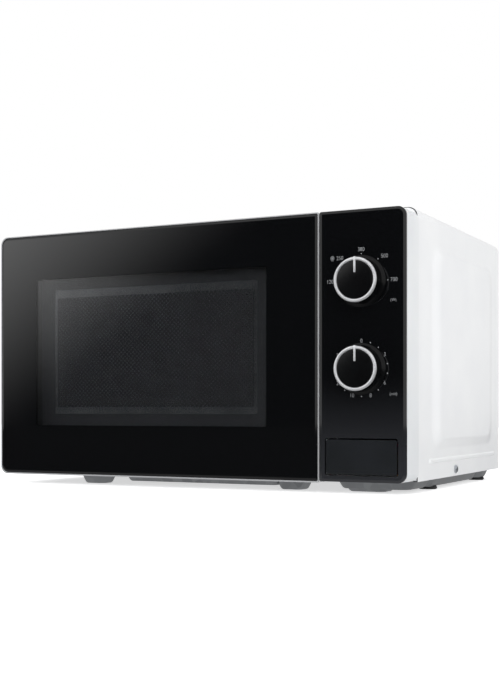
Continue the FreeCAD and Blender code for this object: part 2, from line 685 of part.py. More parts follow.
def magnetron_anode():
    length = YOKE[0]
    body = rod_x(MAG_X0 + 9, MAG_X0 + length - 9, MAG_Y, MAG_Z, ANODE_R)
    neck = rod_x(MAG_X0 - 2, MAG_X0 + length - 1.6, MAG_Y, MAG_Z, 9.0)
    dome = rod_x(MAG_X0 - 18, MAG_X0, MAG_Y, MAG_Z, 7.0)
    return join([body, neck, dome])


def magnetron_fins():
    y, z = YOKE[1] / 2 - 3, YOKE[2] / 2 - 8
    made = []
    for x in spread(MAG_X0 + 13, MAG_X0 + YOKE[0] - 14, 4.0):
        fin = box(x, x + 0.6, MAG_Y - y, MAG_Y + y, MAG_Z - z, MAG_Z + z)
        made.append(fin.cut(rod_x(x - 1, x + 2, MAG_Y, MAG_Z, ANODE_R)))
    return Part.makeCompound(made)


def magnetron_magnets():
    made = []
    for x in (MAG_X0 + 1.6, MAG_X0 + YOKE[0] - 9.0):
        made.append(rod_x(x, x + 7.4, MAG_Y, MAG_Z, 26).cut(rod_x(x - 1, x + 9, MAG_Y, MAG_Z, 9.0)))
    return Part.makeCompound(made)


def magnetron_yoke():
    y, z = YOKE[1] / 2, YOKE[2] / 2
    shell = box(MAG_X0, MAG_X0 + YOKE[0], MAG_Y - y, MAG_Y + y, MAG_Z - z, MAG_Z + z)
    wall = 1.6
    x1 = MAG_X0 + YOKE[0] - wall
    hollow = box(MAG_X0 + wall, x1, MAG_Y - y - 1, MAG_Y + y + 1, MAG_Z - z + wall, MAG_Z + z - wall)
    return less(shell, [hollow, rod_x(MAG_X0 - 1, MAG_X0 + 2, MAG_Y, MAG_Z, 9.0)])


def transformer_core():
    w, d, h = CORE
    block = box(BAY_CX - w / 2, BAY_CX + w / 2, CORE_Y, CORE_Y + d, BASE_TOP, BASE_TOP + h)
    leg = w / 6
    cuts = []
    for side in (-1, 1):
        a, b = sorted((side * leg, side * 2 * leg))
        x0, x1 = BAY_CX + a, BAY_CX + b
        cuts.append(box(x0, x1, CORE_Y - 1, CORE_Y + d + 1, BASE_TOP + leg, BASE_TOP + h - leg))
    return less(block, cuts)


def transformer_coils():
    w, d, h = CORE
    leg = w / 6
    z0, z1 = BASE_TOP + leg + 0.5, BASE_TOP + h - leg - 0.5
    zm = (z0 + z1) / 2
    made = []
    for a, b in ((z0, zm - 1), (zm + 1, z1)):
        x = 2 * leg - 0.2
        ring = slab("z", (BAY_CX - x, BAY_CX + x, CORE_Y - 14, CORE_Y + d + 14), a, b, 8.0)
        made.append(ring.cut(box(BAY_CX - leg, BAY_CX + leg, CORE_Y, CORE_Y + d, a - 1, b + 1)))
    return Part.makeCompound(made)


def capacitor():
    w, d, h = CAN
    x0, x1 = BAY_CX - w / 2, BAY_CX + w / 2
    can = slab("x", (CAN_Y - d / 2, CAN_Y + d / 2, CAN_Z, CAN_Z + h), x0, x1, d / 2 - 0.2)
    pins = [box(x0 - 7, x0, CAN_Y - 3, CAN_Y + 3, CAN_Z + z, CAN_Z + z + 0.8) for z in (20, 34)]
    return join([can] + pins)


def capacitor_clamp():
    w, d, h = CAN
    x = BAY_CX
    loop = (CAN_Y - d / 2 - 1, CAN_Y + d / 2 + 1, CAN_Z - 1, CAN_Z + h + 1)
    band = slab("x", loop, x - 6, x + 6, d / 2 + 0.8)
    hole = slab("x", grown(loop, -1.0), x - 7, x + 7, d / 2 - 0.2)
    tab = box(x - 6, x + 6, CAN_Y - 8, CAN_Y + d / 2 + 14, BASE_TOP, BASE_TOP + 0.8)
    return less(join([band.cut(hole), tab]), [hole])


def high_voltage_diode():
    y, z = CAN_Y - 34.0, BASE_TOP
    body = rod_x(BAY_CX - 12, BAY_CX + 12, y, z + 6, 4.0)
    lug = slab("z", (BAY_CX + 8, BAY_CX + 24, y - 4, y + 4), z, z + 1.0, 3.5)
    post = box(BAY_CX + 10, BAY_CX + 12, y - 3, y + 3, z, z + 6)
    return join([body, lug, post])


def fan_shroud():
    x0, x1 = BAY_X0 + 1, BAY_X1 - 2
    z0, z1 = FAN_Z - FAN_R - 12, CZ1 - SHEET - 2
    wall = slab("y", (x0, x1, z0, z1), FAN_Y, FAN_Y + 2.0, (0, 0, CAB_R, 0))
    collar = rod_y(BAY_CX, FAN_Y, FAN_Y + 14, FAN_Z, FAN_R + 5.5)
    legs = [box(BAY_CX + s * 30 - 3, BAY_CX + s * 30 + 3, FAN_Y + 1, MOTOR_Y + 18, z, z + 3)
            for s in (-1, 1) for z in (FAN_Z - FAN_R - 6, FAN_Z + FAN_R + 3)]
    throat = rod_y(BAY_CX, FAN_Y - 1, FAN_Y + 15, FAN_Z, FAN_R + 3.5)
    return less(join([wall, collar] + legs), [throat])


def fan_motor():
    """Shaded-pole motor on a bracket between the shroud's legs."""
    y = MOTOR_Y
    stator = box(BAY_CX - 24, BAY_CX + 24, y + 4, y + 18, FAN_Z - 28, FAN_Z + 20)
    coil = box(BAY_CX - 13, BAY_CX + 13, y + 1, y + 21, FAN_Z - 38, FAN_Z - 20)
    bridge = box(BAY_CX - 34, BAY_CX + 34, y + 18, y + 20, FAN_Z - FAN_R - 6, FAN_Z + FAN_R + 6)
    bush = rod_y(BAY_CX, y, y + 24, FAN_Z, 6.0)
    bore = rod_y(BAY_CX, y - 1, y + 22, FAN_Z, 2.0 + FIT)
    return less(join([stator, coil, bridge, bush]), [bore])


def fan_rotor():
    """Seven-bladed wheel moulded on its steel shaft."""
    y = FAN_Y + 2.0
    hub = rod_y(BAY_CX, y, y + 12, FAN_Z, 8.0)
    blade = box(-6, 6, 0, FAN_R, -0.7, 0.7)
    made = [hub]
    for i in range(7):
        one = blade.copy()
        one.rotate(vec(0, 0, 0), vec(0, 1, 0), 35)
        one.rotate(vec(0, 0, 0), vec(0, 0, 1), i * 360 / 7)
        upright = FreeCAD.Rotation(vec(1, 0, 0), 90)
        one.Placement = FreeCAD.Placement(vec(BAY_CX, y + 6, FAN_Z), upright).multiply(one.Placement)
        made.append(one)
    disc = rod_y(BAY_CX, y, y + 12, FAN_Z, FAN_R)
    shaft = rod_y(BAY_CX, FAN_Y + 1, MOTOR_Y + 21, FAN_Z, 2.0)
    return join([join(made).common(disc), shaft])


def oven_lamp():
    """Bulb and neck, one glass."""
    profile = [(0, 0), (5, 1), (9, 4), (11, 9), (11, 13), (9, 18), (7, 22), (7, 31), (0, 31)]
    return turned(profile, BAY_X0 + 5, LAMP_Y, LAMP_Z, vec(1, 0, 0))


def lamp_socket():
    cup = rod_x(BAY_X0 + 28, BAY_X0 + 46, LAMP_Y, LAMP_Z, 10.0)
    cup = cup.cut(rod_x(BAY_X0 + 27, BAY_X0 + 36, LAMP_Y, LAMP_Z, 7.0))
    plate = box(BAY_X0, BAY_X0 + 46, LAMP_Y + 14, LAMP_Y + 15.2, LAMP_Z - 10, LAMP_Z + 10)
    link = box(BAY_X0 + 40, BAY_X0 + 46, LAMP_Y, LAMP_Y + 14, LAMP_Z - 5, LAMP_Z + 5)
    return join([cup, plate, link])


def noise_filter():
    y = YB - 2 * SHEET - 8.0
    board = box(BAY_CX - 40, BAY_CX + 10, y, y + 1.6, FILTER_Z - 17, FILTER_Z + 17)
    parts = [rod_y(BAY_CX - 26, y - 9, y, FILTER_Z, 9.0)]
    parts.append(box(BAY_CX - 10, BAY_CX + 4, y - 8, y, FILTER_Z - 11, FILTER_Z + 9))
    corners = [(x, z) for x in (BAY_CX - 36, BAY_CX + 6) for z in (FILTER_Z - 14, FILTER_Z + 14)]
    feet = [rod_y(x, y + 1.6, YB - 2 * SHEET, z, 2.0) for x, z in corners]
    return join([board] + parts + feet)


# ---------------------------------------------------------------- door
def bevelled_glass(rect, radii):
    """Glass sheet with its front edge bevelled."""
    flat = tuple(max(r - BEVEL_W, 0.6) for r in radii)
    back = slab("y", rect, YF + BEVEL_D, YF + GLASS_T, radii)
    wires = [outline("y", rect, YF + BEVEL_D, radii), outline("y", grown(rect, -BEVEL_W), YF, flat)]
    return join([back, Part.makeLoft(wires, True, True)])


def door_glass():
    return bevelled_glass(GLASS_RECT, DOOR_RADII)


def corner_relief(y0, y1, grow):
    """Room round the hinge blocks in the flat pieces of the door."""
    x1 = HINGE_X + HINGE_REAR + grow
    low = ARMS_Z[0] + ARM_T + 9 + grow
    high = ARMS_Z[1] - 9 - grow
    return [box(X0 - 1, x1, y0, y1, Z0 - 3, low), box(X0 - 1, x1, y0, y1, high, Z1 + 1)]


def hinge_axis(z0, z1, r):
    return rod_z(HINGE_X, HINGE_Y, z0, z1, r)


def rear_corner():
    """Cutter that rounds the door's rear left corner about the hinge axis."""
    quadrant = box(X0 - 1, HINGE_X, HINGE_Y, DOOR_YB + 1, Z0 - 3, Z1 + 1)
    return quadrant.cut(hinge_axis(Z0 - 4, Z1 + 2, HINGE_REAR))


def door_frame():
    y0, y1 = YF + GLASS_T, DOOR_YB
    shell = slab("y", DOOR_RECT, YF + RIM_BACK, y1, DOOR_RADII)
    seat = slab("y", GLASS_RECT, YF - 1, y0, DOOR_RADII)
    pocket = slab("y", grown(DOOR_RECT, -WALL), y0 + WALL, y1 + 1, (FRONT_R - WALL, 0, 0, FRONT_R - WALL))
    shell = less(shell, [seat, pocket])
    blocks = []
    for z0, z1 in ((Z0 + 1, ARMS_Z[0] + ARM_T + 8), (ARMS_Z[1] - 8, Z1 - 1)):
        blocks.append(box(X0 + 1, HINGE_X + HINGE_REAR, HINGE_Y - HINGE_REAR, y1, z0, z1))
    rib = box(HOOK_X0 - 2, HOOK_X1 + 0.8, y0 + WALL - 0.1, KEY_Y1 + 3, SPRING_TOP, SPRING_TOP + 3)
    shell = join([shell, rib] + blocks)
    bezel = slab("y", grown(WIN, BEZEL_GROW + WALL), y0 - 1, y0 + WALL + 1, 5.0)
    notches = [hinge_axis(z - NOTCH_AIR, z + ARM_T + NOTCH_AIR, NOTCH_R) for z in ARMS_Z]
    bores = [hinge_axis(z - PIN_END, z + ARM_T + PIN_END, PIN_R) for z in ARMS_Z]
    return less(shell, [rear_corner(), bezel] + notches + bores)


def hinge_pins():
    return Part.makeCompound([hinge_axis(z - PIN_END, z + ARM_T + PIN_END, PIN_R) for z in ARMS_Z])


def window_bezel():
    return frame("y", grown(WIN, BEZEL_GROW + WALL), YF + GLASS_T, YF + SCREEN_Y + SCREEN_T, WALL, 5.0)


def door_screen():
    return slab("y", SCREEN, YF + SCREEN_Y, YF + SCREEN_Y + SCREEN_T, 2.0)


def door_plate():
    """Inner steel door: a deep-drawn hat round the window with a choke flange."""
    y_hat = YF + SCREEN_Y + SCREEN_T
    y_flange = YF + PLATE_Y
    hat = grown(WIN, HAT_GROW)
    rect = grown(DOOR_RECT, -WALL - PLATE_IN)
    rect = (rect[0], DOOR_X1 - WALL - 1.5, rect[2], rect[3])
    flange = slab("y", rect, y_flange, y_flange + SHEET, 0)
    flange = flange.cut(slab("y", grown(hat, -SHEET), y_flange - 1, y_flange + 2, 6.0))
    choke = frame("y", rect, y_flange - 9, y_flange + 0.1, SHEET, 0)
    wall = frame("y", hat, y_hat, y_flange + SHEET, SHEET, 7.0)
    top = slab("y", hat, y_hat, y_hat + SHEET, 7.0)
    top = top.cut(slab("y", grown(SCREEN, -SCREEN_SEAT), y_hat - 1, y_hat + 2, 2.0))
    body = join([flange, choke, wall, top])
    y0, y1 = y_flange - 12, y_flange + 2
    return less(body, corner_relief(y0, y1, 1.5) + hook_slots(y0, y1))


def door_film():
    y = YF + SCREEN_Y + SCREEN_T + SHEET
    return slab("y", grown(SCREEN, 6.0), y, y + 0.4, 4.0)


def choke_cover():
    rect = grown(DOOR_RECT, -WALL - COVER_IN)
    opening = grown(WIN, HAT_GROW - SHEET)
    y1 = DOOR_YB
    ring = slab("y", rect, y1 - COVER_T, y1, (FRONT_R - WALL, 1, 1, FRONT_R - WALL))
    ring = ring.cut(slab("y", opening, y1 - COVER_T - 1, y1 + 1, 6.0))
    lip = frame("y", grown(opening, 1.5), YF + PLATE_Y + SHEET, y1 - COVER_T + 0.1, 1.5, 7.0)
    cuts = corner_relief(YF + PLATE_Y, y1 + 1, 2.5) + hook_slots(YF + PLATE_Y, y1 + 1)
    return less(join([ring, lip]), cuts + [rear_corner()])


def door_key():
    """Sprung bar in the door with the two hooks."""
    bar = box(HOOK_X0, HOOK_X1, KEY_Y0, KEY_Y1, HOOKS_Z[0] - 4, KEY_TOP)
    arms = []
    for z in HOOKS_Z:
        tip = YC + HOOK_REACH
        arms.append(box(HOOK_X0, HOOK_X1, KEY_Y0, tip, z, z + HOOK_H))
        arms.append(box(HOOK_X0, HOOK_X1, tip - TIP_L, tip, z - TIP_DROP, z + 1))
    return join([bar] + arms)


def tube(p, axis, r_out, r_in, length):
    return Part.makeCylinder(r_out, length, p, axis).cut(Part.makeCylinder(r_in, length, p, axis))


def door_key_spring():
    x, y = (HOOK_X0 + HOOK_X1) / 2, (KEY_Y0 + KEY_Y1) / 2
    return tube(vec(x, y, KEY_TOP), vec(0, 0, 1), 2.8, 2.2, SPRING_TOP - KEY_TOP)


# ---------------------------------------------------------------- latch, lever and switches
def latch_body():
    """Plastic holder behind the front plate that the hooks catch in."""
    y0 = YC + SHEET
    x0, x1 = HOOK_X0 - 3, HOOK_X1 + 3
    wall_x = HOOK_X1 + 0.8
    z0, z1 = LEVER_Z - 12, HOOKS_Z[1] + HOOK_H + 14
    back = box(x0, x1, YC + LATCH_D - 2, YC + LATCH_D, z0, z1)
    side = box(wall_x, x1, y0, YC + LATCH_D, z0, z1)
    ledge_top = [z - 0.5 for z in HOOKS_Z]
    low = box(HOOK_X0 + LEVER_W + 1, wall_x + 0.1, y0, y0 + LEDGE_L, ledge_top[0] - 12, ledge_top[0])
    high = box(x0, wall_x + 0.1, y0, y0 + LEDGE_L, ledge_top[1] - 12, ledge_top[1])
    stub = rod_x(HOOK_X0 - 2, wall_x + 0.1, YC + LEVER_Y, LEVER_Z, 1.5)
    return join([back, side, low, high, stub])


def door_lever():
    x0, x1 = HOOK_X0 - 1, HOOK_X0 - 1 + LEVER_W
    y = YC + LEVER_Y
    boss = rod_x(x0, x1, y, LEVER_Z, 3.6)
    drop = box(x0, x1, y - LEVER_T / 2, y + LEVER_T / 2, LEVER_Z - LEVER_DROP, LEVER_Z)
    reach = box(x0, x1, y, y + 12.5, LEVER_Z - 1, LEVER_Z + 3.4)
    bore = rod_x(x0 - 1, x1 + 1, y, LEVER_Z, 1.5 + FIT)
    return less(join([boss, drop, reach]), [bore])


def door_switches():
    """Three microswitches behind the latch."""
    x0, y0 = HOOK_X0 - 1, YC + LATCH_D
    made = []
    for z in (HOOKS_Z[0] - 4, HOOKS_Z[0] + 22, HOOKS_Z[1] - 4):
        case = box(x0, x0 + 10, y0, y0 + 28, z, z + 16)
        pins = [box(x0 + 3, x0 + 7, y0 + 27, y0 + 34, z + dz, z + dz + 0.8) for dz in (3, 12)]
        made.append(join([case] + pins))
    return Part.makeCompound(made)


# ---------------------------------------------------------------- control panel
def button_hole(y0, y1):
    return slab("y", grown(BUTTON, BUTTON_GAP), y0, y1, 2.5)


def control_fascia():
    plate = bevelled_glass(PANEL_RECT, PANEL_RADII)
    holes = [rod_y(DIAL_X, YF - 1, YF + GLASS_T + 1, z, SHAFT_R + 2) for z in DIALS_Z]
    return less(plate, holes + [button_hole(YF - 1, YF + GLASS_T + 1)])


def control_housing():
    y0, y1 = YF + GLASS_T, DOOR_YB
    shell = slab("y", PANEL_RECT, y0, y1, PANEL_RADII)
    pocket = slab("y", grown(PANEL_RECT, -WALL), y0 + WALL, y1 + 1, (0, FRONT_R - WALL, FRONT_R - WALL, 0))
    rail = box(PANEL_X0 + 1, X1 - 1, YF + RAIL_BACK, YF + RAIL_BACK + RAIL_T, Z0 + RAIL_Z0, Z0 + RAIL_Z1)
    shell = join([shell.cut(pocket), rail])
    holes = [rod_y(DIAL_X, y0 - 1, y0 + WALL + 1, z, SHAFT_R + 2) for z in DIALS_Z]
    return less(shell, holes + [button_hole(y0 - 1, y0 + WALL + 1)])


def dial_box(z, half_x, half_z, depth):
    y0 = YF + GLASS_T + WALL
    case = box(DIAL_X - half_x, DIAL_X + half_x, y0, y0 + depth, z - half_z, z + half_z)
    return case.cut(rod_y(DIAL_X, y0 - 1, y0 + depth - 4, z, SHAFT_R + FIT))


def timer_unit():
    y = YF + GLASS_T + WALL + 40
    pins = [box(x, x + 6, y - 1, y + 7, TIMER_Z - 10, TIMER_Z - 9.2) for x in spread(DIAL_X - 20, DIAL_X + 4, 12)]
    return join([dial_box(TIMER_Z, 27, 26, 40)] + pins)


def timer_bell():
    y = YF + GLASS_T + WALL + 40
    profile = [(4, 0), (6, 0), (6, 4), (16, 6), (18, 14), (17, 14), (15, 7), (4, 5)]
    return turned(profile, DIAL_X, y, TIMER_Z + 8, vec(0, 1, 0))


def power_selector():
    y = YF + GLASS_T + WALL + 26
    pins = [box(DIAL_X - 12 + dx, DIAL_X - 7 + dx, y - 1, y + 7, POWER_Z, POWER_Z + 0.8) for dx in (0, 16)]
    return join([dial_box(POWER_Z, 22, 20, 26)] + pins)


def dial_shaft(z, depth):
    y0 = YF + GLASS_T + WALL
    return rod_y(DIAL_X, YF - KNOB_OUT + 5, y0 + depth - 5, z, SHAFT_R)


def knob(z):
    """Black knob body. Distances run forwards from the glass."""
    r, out = KNOB_R, KNOB_OUT
    lip = out - RING_D
    waist = r - 0.5
    profile = [(SHAFT_R, KNOB_GAP), (SKIRT_R, KNOB_GAP), (SKIRT_R, KNOB_GAP + 1.0), (r + 0.8, KNOB_GAP + 2.2),
               (waist, lip - 1.0), (waist, lip), (r - RING_W, lip), (r - RING_W, out - 0.5), (0, out - 0.5),
               (0, out - 5.0), (SHAFT_R, out - 5.0)]
    body = turned(profile, DIAL_X, YF, z, vec(0, -1, 0))
    return less(body, [pointer_block(z, 0.3)])


def pointer_block(z, sink):
    """Bar on the knob's face, at twelve o'clock, reaching just past the ring."""
    top = z + KNOB_R + 0.3
    half = POINTER_W / 2
    face = YF - KNOB_OUT
    return box(DIAL_X - half, DIAL_X + half, face, face + 0.5 + sink, top - POINTER_L, top)


def knob_trim(z):
    """Bright ring and pointer, one piece."""
    r, out = KNOB_R, KNOB_OUT
    lip = out - RING_D
    profile = [(r - RING_W, lip), (r, lip), (r, out - 0.6), (r - 0.6, out), (r - RING_W + 0.8, out),
               (r - RING_W, out - 0.8)]
    return join([turned(profile, DIAL_X, YF, z, vec(0, -1, 0)), pointer_block(z, 0.3)])


def push_button():
    """Hollow cap with an arm that pushes the lever."""
    x0, x1, z0, z1 = BUTTON
    cap = slab("y", BUTTON, YF, YF + BUTTON_D, 1.8)
    pocket = slab("y", grown(BUTTON, -2.0), YF + CAP_WALL, YF + BUTTON_D + 1, 0.5)
    arm_z = LEVER_Z - LEVER_DROP + 1.0
    stem = box(x0 + 1, x0 + 5, YF + 1, YC + 3.9, arm_z, arm_z + 5)
    finger = box(HOOK_X0 - 1, x0 + 5, YC + 1.6, YC + 3.9, arm_z, arm_z + 5)
    return join([cap.cut(pocket), stem, finger])


def button_spring():
    x, z = (BUTTON[0] + BUTTON[1]) / 2, Z0 + (RAIL_Z0 + RAIL_Z1) / 2
    return tube(vec(x, YF + CAP_WALL, z), vec(0, 1, 0), 4.0, 3.2, RAIL_BACK - CAP_WALL)


# ---------------------------------------------------------------- write every piece
PIECES = {
    "outer_cabinet": outer_cabinet, "base_plate": base_plate, "rubber_feet": rubber_feet,
    "front_plate": front_plate, "hinge_brackets": hinge_brackets, "back_panel": back_panel,
    "cord_gland": cord_gland, "rear_spacers": rear_spacers, "cabinet_screws": cabinet_screws,
    "cavity": cavity, "mica_cover": mica_cover, "waveguide": waveguide,
    "magnetron_anode": magnetron_anode, "magnetron_fins": magnetron_fins,
    "magnetron_magnets": magnetron_magnets, "magnetron_yoke": magnetron_yoke,
    "transformer_core": transformer_core, "transformer_coils": transformer_coils,
    "capacitor": capacitor, "capacitor_clamp": capacitor_clamp, "high_voltage_diode": high_voltage_diode,
    "fan_shroud": fan_shroud, "fan_motor": fan_motor, "fan_rotor": fan_rotor,
    "oven_lamp": oven_lamp, "lamp_socket": lamp_socket, "noise_filter": noise_filter,
    "turntable_motor": turntable_motor, "drive_hub": drive_hub,
    "glass_tray": glass_tray, "roller_ring": roller_ring,
    "door_glass": door_glass, "door_frame": door_frame, "hinge_pins": hinge_pins,
    "window_bezel": window_bezel, "door_screen": door_screen, "door_plate": door_plate,
    "door_film": door_film, "choke_cover": choke_cover, "door_key": door_key,
    "door_key_spring": door_key_spring, "latch_body": latch_body, "door_lever": door_lever,
    "door_switches": door_switches, "control_fascia": control_fascia,
    "control_housing": control_housing, "timer_unit": timer_unit, "timer_bell": timer_bell,
    "power_selector": power_selector, "push_button": push_button, "button_spring": button_spring,
}


def main():
    os.makedirs("parts", exist_ok=True)
    for name, make in PIECES.items():
        save(name, make())
    for index, turn in enumerate(ROLLER_TURNS, 1):
        save("roller_" + str(index), roller(turn))
    for name, z, depth in (("power", POWER_Z, 26.0), ("timer", TIMER_Z, 40.0)):
        save(name + "_knob", knob(z))
        save(name + "_knob_trim", knob_trim(z))
        save(name + "_shaft", dial_shaft(z, depth))


main()
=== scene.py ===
import json
import math

import bmesh
import bpy
from bpy.props import FloatProperty, FloatVectorProperty, IntProperty, PointerProperty
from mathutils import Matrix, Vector


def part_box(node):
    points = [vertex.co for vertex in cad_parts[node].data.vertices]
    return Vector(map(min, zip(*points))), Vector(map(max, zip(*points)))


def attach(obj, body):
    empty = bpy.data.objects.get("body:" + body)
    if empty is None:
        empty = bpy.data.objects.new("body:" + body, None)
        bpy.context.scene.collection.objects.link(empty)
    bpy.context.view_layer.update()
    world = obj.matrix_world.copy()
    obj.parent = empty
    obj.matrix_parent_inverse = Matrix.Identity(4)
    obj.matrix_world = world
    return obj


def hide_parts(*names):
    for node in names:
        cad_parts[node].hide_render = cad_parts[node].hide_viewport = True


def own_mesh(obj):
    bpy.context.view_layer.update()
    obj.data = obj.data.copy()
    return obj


bl_info = {
    "name": "Two-dial microwave oven",
    "version": (1, 0, 0),
    "blender": (4, 5, 0),
    "location": "View3D > Sidebar > Oven",
    "description": "Dresses a countertop microwave oven: screen, knobs, scales, springs, finishes and studio",
    "category": "Object",
}

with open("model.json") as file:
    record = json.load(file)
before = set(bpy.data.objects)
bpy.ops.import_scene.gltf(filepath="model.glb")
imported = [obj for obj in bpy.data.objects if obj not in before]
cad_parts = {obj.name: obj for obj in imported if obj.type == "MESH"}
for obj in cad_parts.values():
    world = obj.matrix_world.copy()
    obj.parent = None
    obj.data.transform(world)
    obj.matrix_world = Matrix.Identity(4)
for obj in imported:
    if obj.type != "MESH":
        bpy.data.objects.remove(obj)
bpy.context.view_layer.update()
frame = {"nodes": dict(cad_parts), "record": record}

MM = 0.001
GLASS_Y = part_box("door_glass")[0].y                     # front face of the black glass
SCREEN_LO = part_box("door_screen")[0]
WINDOW_LO, WINDOW_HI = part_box("window_bezel")           # outside of the frame round the window
BEZEL_WALL = 3.2 * MM                                   # clear window to the outside of that frame
RING_DEPTH = 2.5 * MM                                   # face of a knob's bright ring to its foot
BUTTON_TRAVEL = 5 * MM
KEY_LIFT = 3 * MM
WIRE_SIDES = 8                                          # sides of a spring's wire
STEPS_PER_TURN = 20                                     # straight stretches in one turn of a spring
WAVE_PERIOD = 2 * math.pi / 20                          # width of one band of the wave texture at scale 1
PRINT_EDGE = 0.25 * MM                                  # half the soft edge of the print round the window


def dial_centre(knob):
    """Middle of a knob on the face of the glass."""
    lo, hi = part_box(knob)
    return Vector(((lo.x + hi.x) / 2, GLASS_Y, (lo.z + hi.z) / 2))


# ------------------------------------------------------------ settings
class ScreenSettings(bpy.types.PropertyGroup):
    pitch_x: FloatProperty(name="Pitch across", description="Holes in one row, centre to centre",
                           default=4.5 * MM, unit="LENGTH", precision=5)
    pitch_z: FloatProperty(name="Row spacing", description="One row of holes to the next, offset by half",
                           default=2.15 * MM, unit="LENGTH", precision=5)
    hole: FloatProperty(name="Hole radius", description="Radius of one punched hole",
                        default=0.93 * MM, unit="LENGTH", precision=5)
    left: FloatProperty(name="Left margin", description="Left edge of the door's screen to the first holes",
                        default=8.9 * MM, unit="LENGTH", precision=5)
    low: FloatProperty(name="Lower margin", description="Lower edge of the door's screen to the first holes",
                       default=12.0 * MM, unit="LENGTH", precision=5)
    columns: IntProperty(name="Columns", description="Holes in one row", default=49, min=2)
    row_pairs: IntProperty(name="Row pairs", description="Pairs of offset rows", default=26, min=1)
    thickness: FloatProperty(name="Thickness", description="Sheet of the screen",
                             default=0.6 * MM, unit="LENGTH", precision=5)


class KnobSettings(bpy.types.PropertyGroup):
    ring_width: FloatProperty(name="Ring width", description="Bright ring, measured across its face",
                              default=3.0 * MM, unit="LENGTH", precision=5)
    pointer_width: FloatProperty(name="Pointer width", description="Bright bar on the knob's face",
                                 default=2.0 * MM, unit="LENGTH", precision=5)
    pointer_length: FloatProperty(name="Pointer length", description="Bar from its outer end inwards",
                                  default=14.0 * MM, unit="LENGTH", precision=5)
    segments: IntProperty(name="Segments", description="Sides of the turned outline", default=128, min=24)


class ScaleSettings(bpy.types.PropertyGroup):
    circle: FloatProperty(name="Mark circle", description="Radius of the circle of dots",
                          default=24.7 * MM, unit="LENGTH", precision=5)
    dot: FloatProperty(name="Dot radius", description="Radius of one printed dot",
                       default=0.5 * MM, unit="LENGTH", precision=5)
    figure: FloatProperty(name="Figure height", description="Height of the printed figures",
                          default=3.8 * MM, unit="LENGTH", precision=5)
    ink: FloatProperty(name="Ink thickness", description="Ink standing on the glass",
                       default=0.04 * MM, unit="LENGTH", precision=5)


class SpringSettings(bpy.types.PropertyGroup):
    wire: FloatProperty(name="Wire radius", description="Radius of the spring wire",
                        default=0.4 * MM, unit="LENGTH", precision=5)
    turns: IntProperty(name="Turns", description="Turns of each coil", default=8, min=2)


class FinishSettings(bpy.types.PropertyGroup):
    print_black: FloatVectorProperty(name="Glass print", description="Black print behind the glass",
                                     subtype="COLOR", size=3, min=0.0, max=1.0,
                                     default=(0.0016, 0.0018, 0.0022))


class StageSettings(bpy.types.PropertyGroup):
    floor_size: FloatProperty(name="Floor", description="Side of the square floor", default=8.0,
                              unit="LENGTH")
    key_power: FloatProperty(name="Key light", description="Power of the large softbox", default=27.0,
                             unit="POWER")
    top_power: FloatProperty(name="Top light", description="Power of the overhead softbox", default=4.0,
                             unit="POWER")
    focal: FloatProperty(name="Focal length", description="Lens in millimetres", default=62.56,
                         subtype="DISTANCE_CAMERA")


# ------------------------------------------------------------ modelling help
def only(obj):
    """Make this object the one that is selected and active."""
    bpy.ops.object.select_all(action="DESELECT")
    obj.select_set(True)
    bpy.context.view_layer.objects.active = obj


def named(name):
    """Name the object that was just added, and its mesh."""
    obj = bpy.context.object
    obj.name = name
    obj.data.name = name
    return obj


def pick(obj, test):
    """In edit mode, select the vertices whose place passes the test, with what lies between them."""
    mesh = bmesh.from_edit_mesh(obj.data)
    for vert in mesh.verts:
        vert.select = bool(test(vert.co))
    mesh.select_flush(False)
    mesh.select_flush(True)
    bmesh.update_edit_mesh(obj.data)


def settle(obj, turn=(0.0, 0.0, 0.0), place=(0.0, 0.0, 0.0)):
    """Turn and place a finished piece, then move that into its mesh."""
    only(obj)
    obj.rotation_euler = turn
    obj.location = place
    bpy.ops.object.transform_apply(location=True, rotation=True, scale=True)
    return obj


def apply_all(obj):
    """Apply every modifier of the piece, in order."""
    only(obj)
    for modifier in list(obj.modifiers):
        bpy.ops.object.modifier_apply(modifier=modifier.name)
    return obj


def close_up(obj, angle=math.radians(35)):
    """Merge doubles, face everything outwards and smooth the gentle edges."""
    only(obj)
    bpy.ops.object.mode_set(mode="EDIT")
    bpy.ops.mesh.select_all(action="SELECT")
    bpy.ops.mesh.remove_doubles(threshold=1e-6)
    bpy.ops.mesh.normals_make_consistent(inside=False)
    bpy.ops.object.mode_set(mode="OBJECT")
    bpy.ops.object.shade_smooth_by_angle(angle=angle)
    return obj


def merge(name, parts):
    """Join finished pieces into one object."""
    only(parts[0])
    for part in parts[1:]:
        part.select_set(True)
    bpy.ops.object.join()
    return named(name)


def turned(name, profile, segments, closed=False):
    """Turned piece about +Z: a circle extruded and resized from each (radius, height) to the next."""
    bpy.ops.object.select_all(action="DESELECT")
    fill = "NOTHING" if closed else "NGON"
    bpy.ops.mesh.primitive_circle_add(vertices=segments, radius=profile[0][0], fill_type=fill)
    obj = named(name)
    bpy.ops.object.mode_set(mode="EDIT")
    bpy.ops.mesh.select_all(action="SELECT")
    bpy.ops.transform.translate(value=(0, 0, profile[0][1]))
    steps = profile + [profile[0]] if closed else profile
    for (r0, h0), (r1, h1) in zip(steps, steps[1:]):
        lift = {"value": (0, 0, h1 - h0)}
        if closed:
            bpy.ops.mesh.extrude_edges_move(TRANSFORM_OT_translate=lift)
        else:
            bpy.ops.mesh.extrude_region_move(TRANSFORM_OT_translate=lift)
        grow = r1 / r0
        bpy.ops.transform.resize(value=(grow, grow, 1), center_override=(0, 0, h1))
    bpy.ops.object.mode_set(mode="OBJECT")
    return close_up(obj)


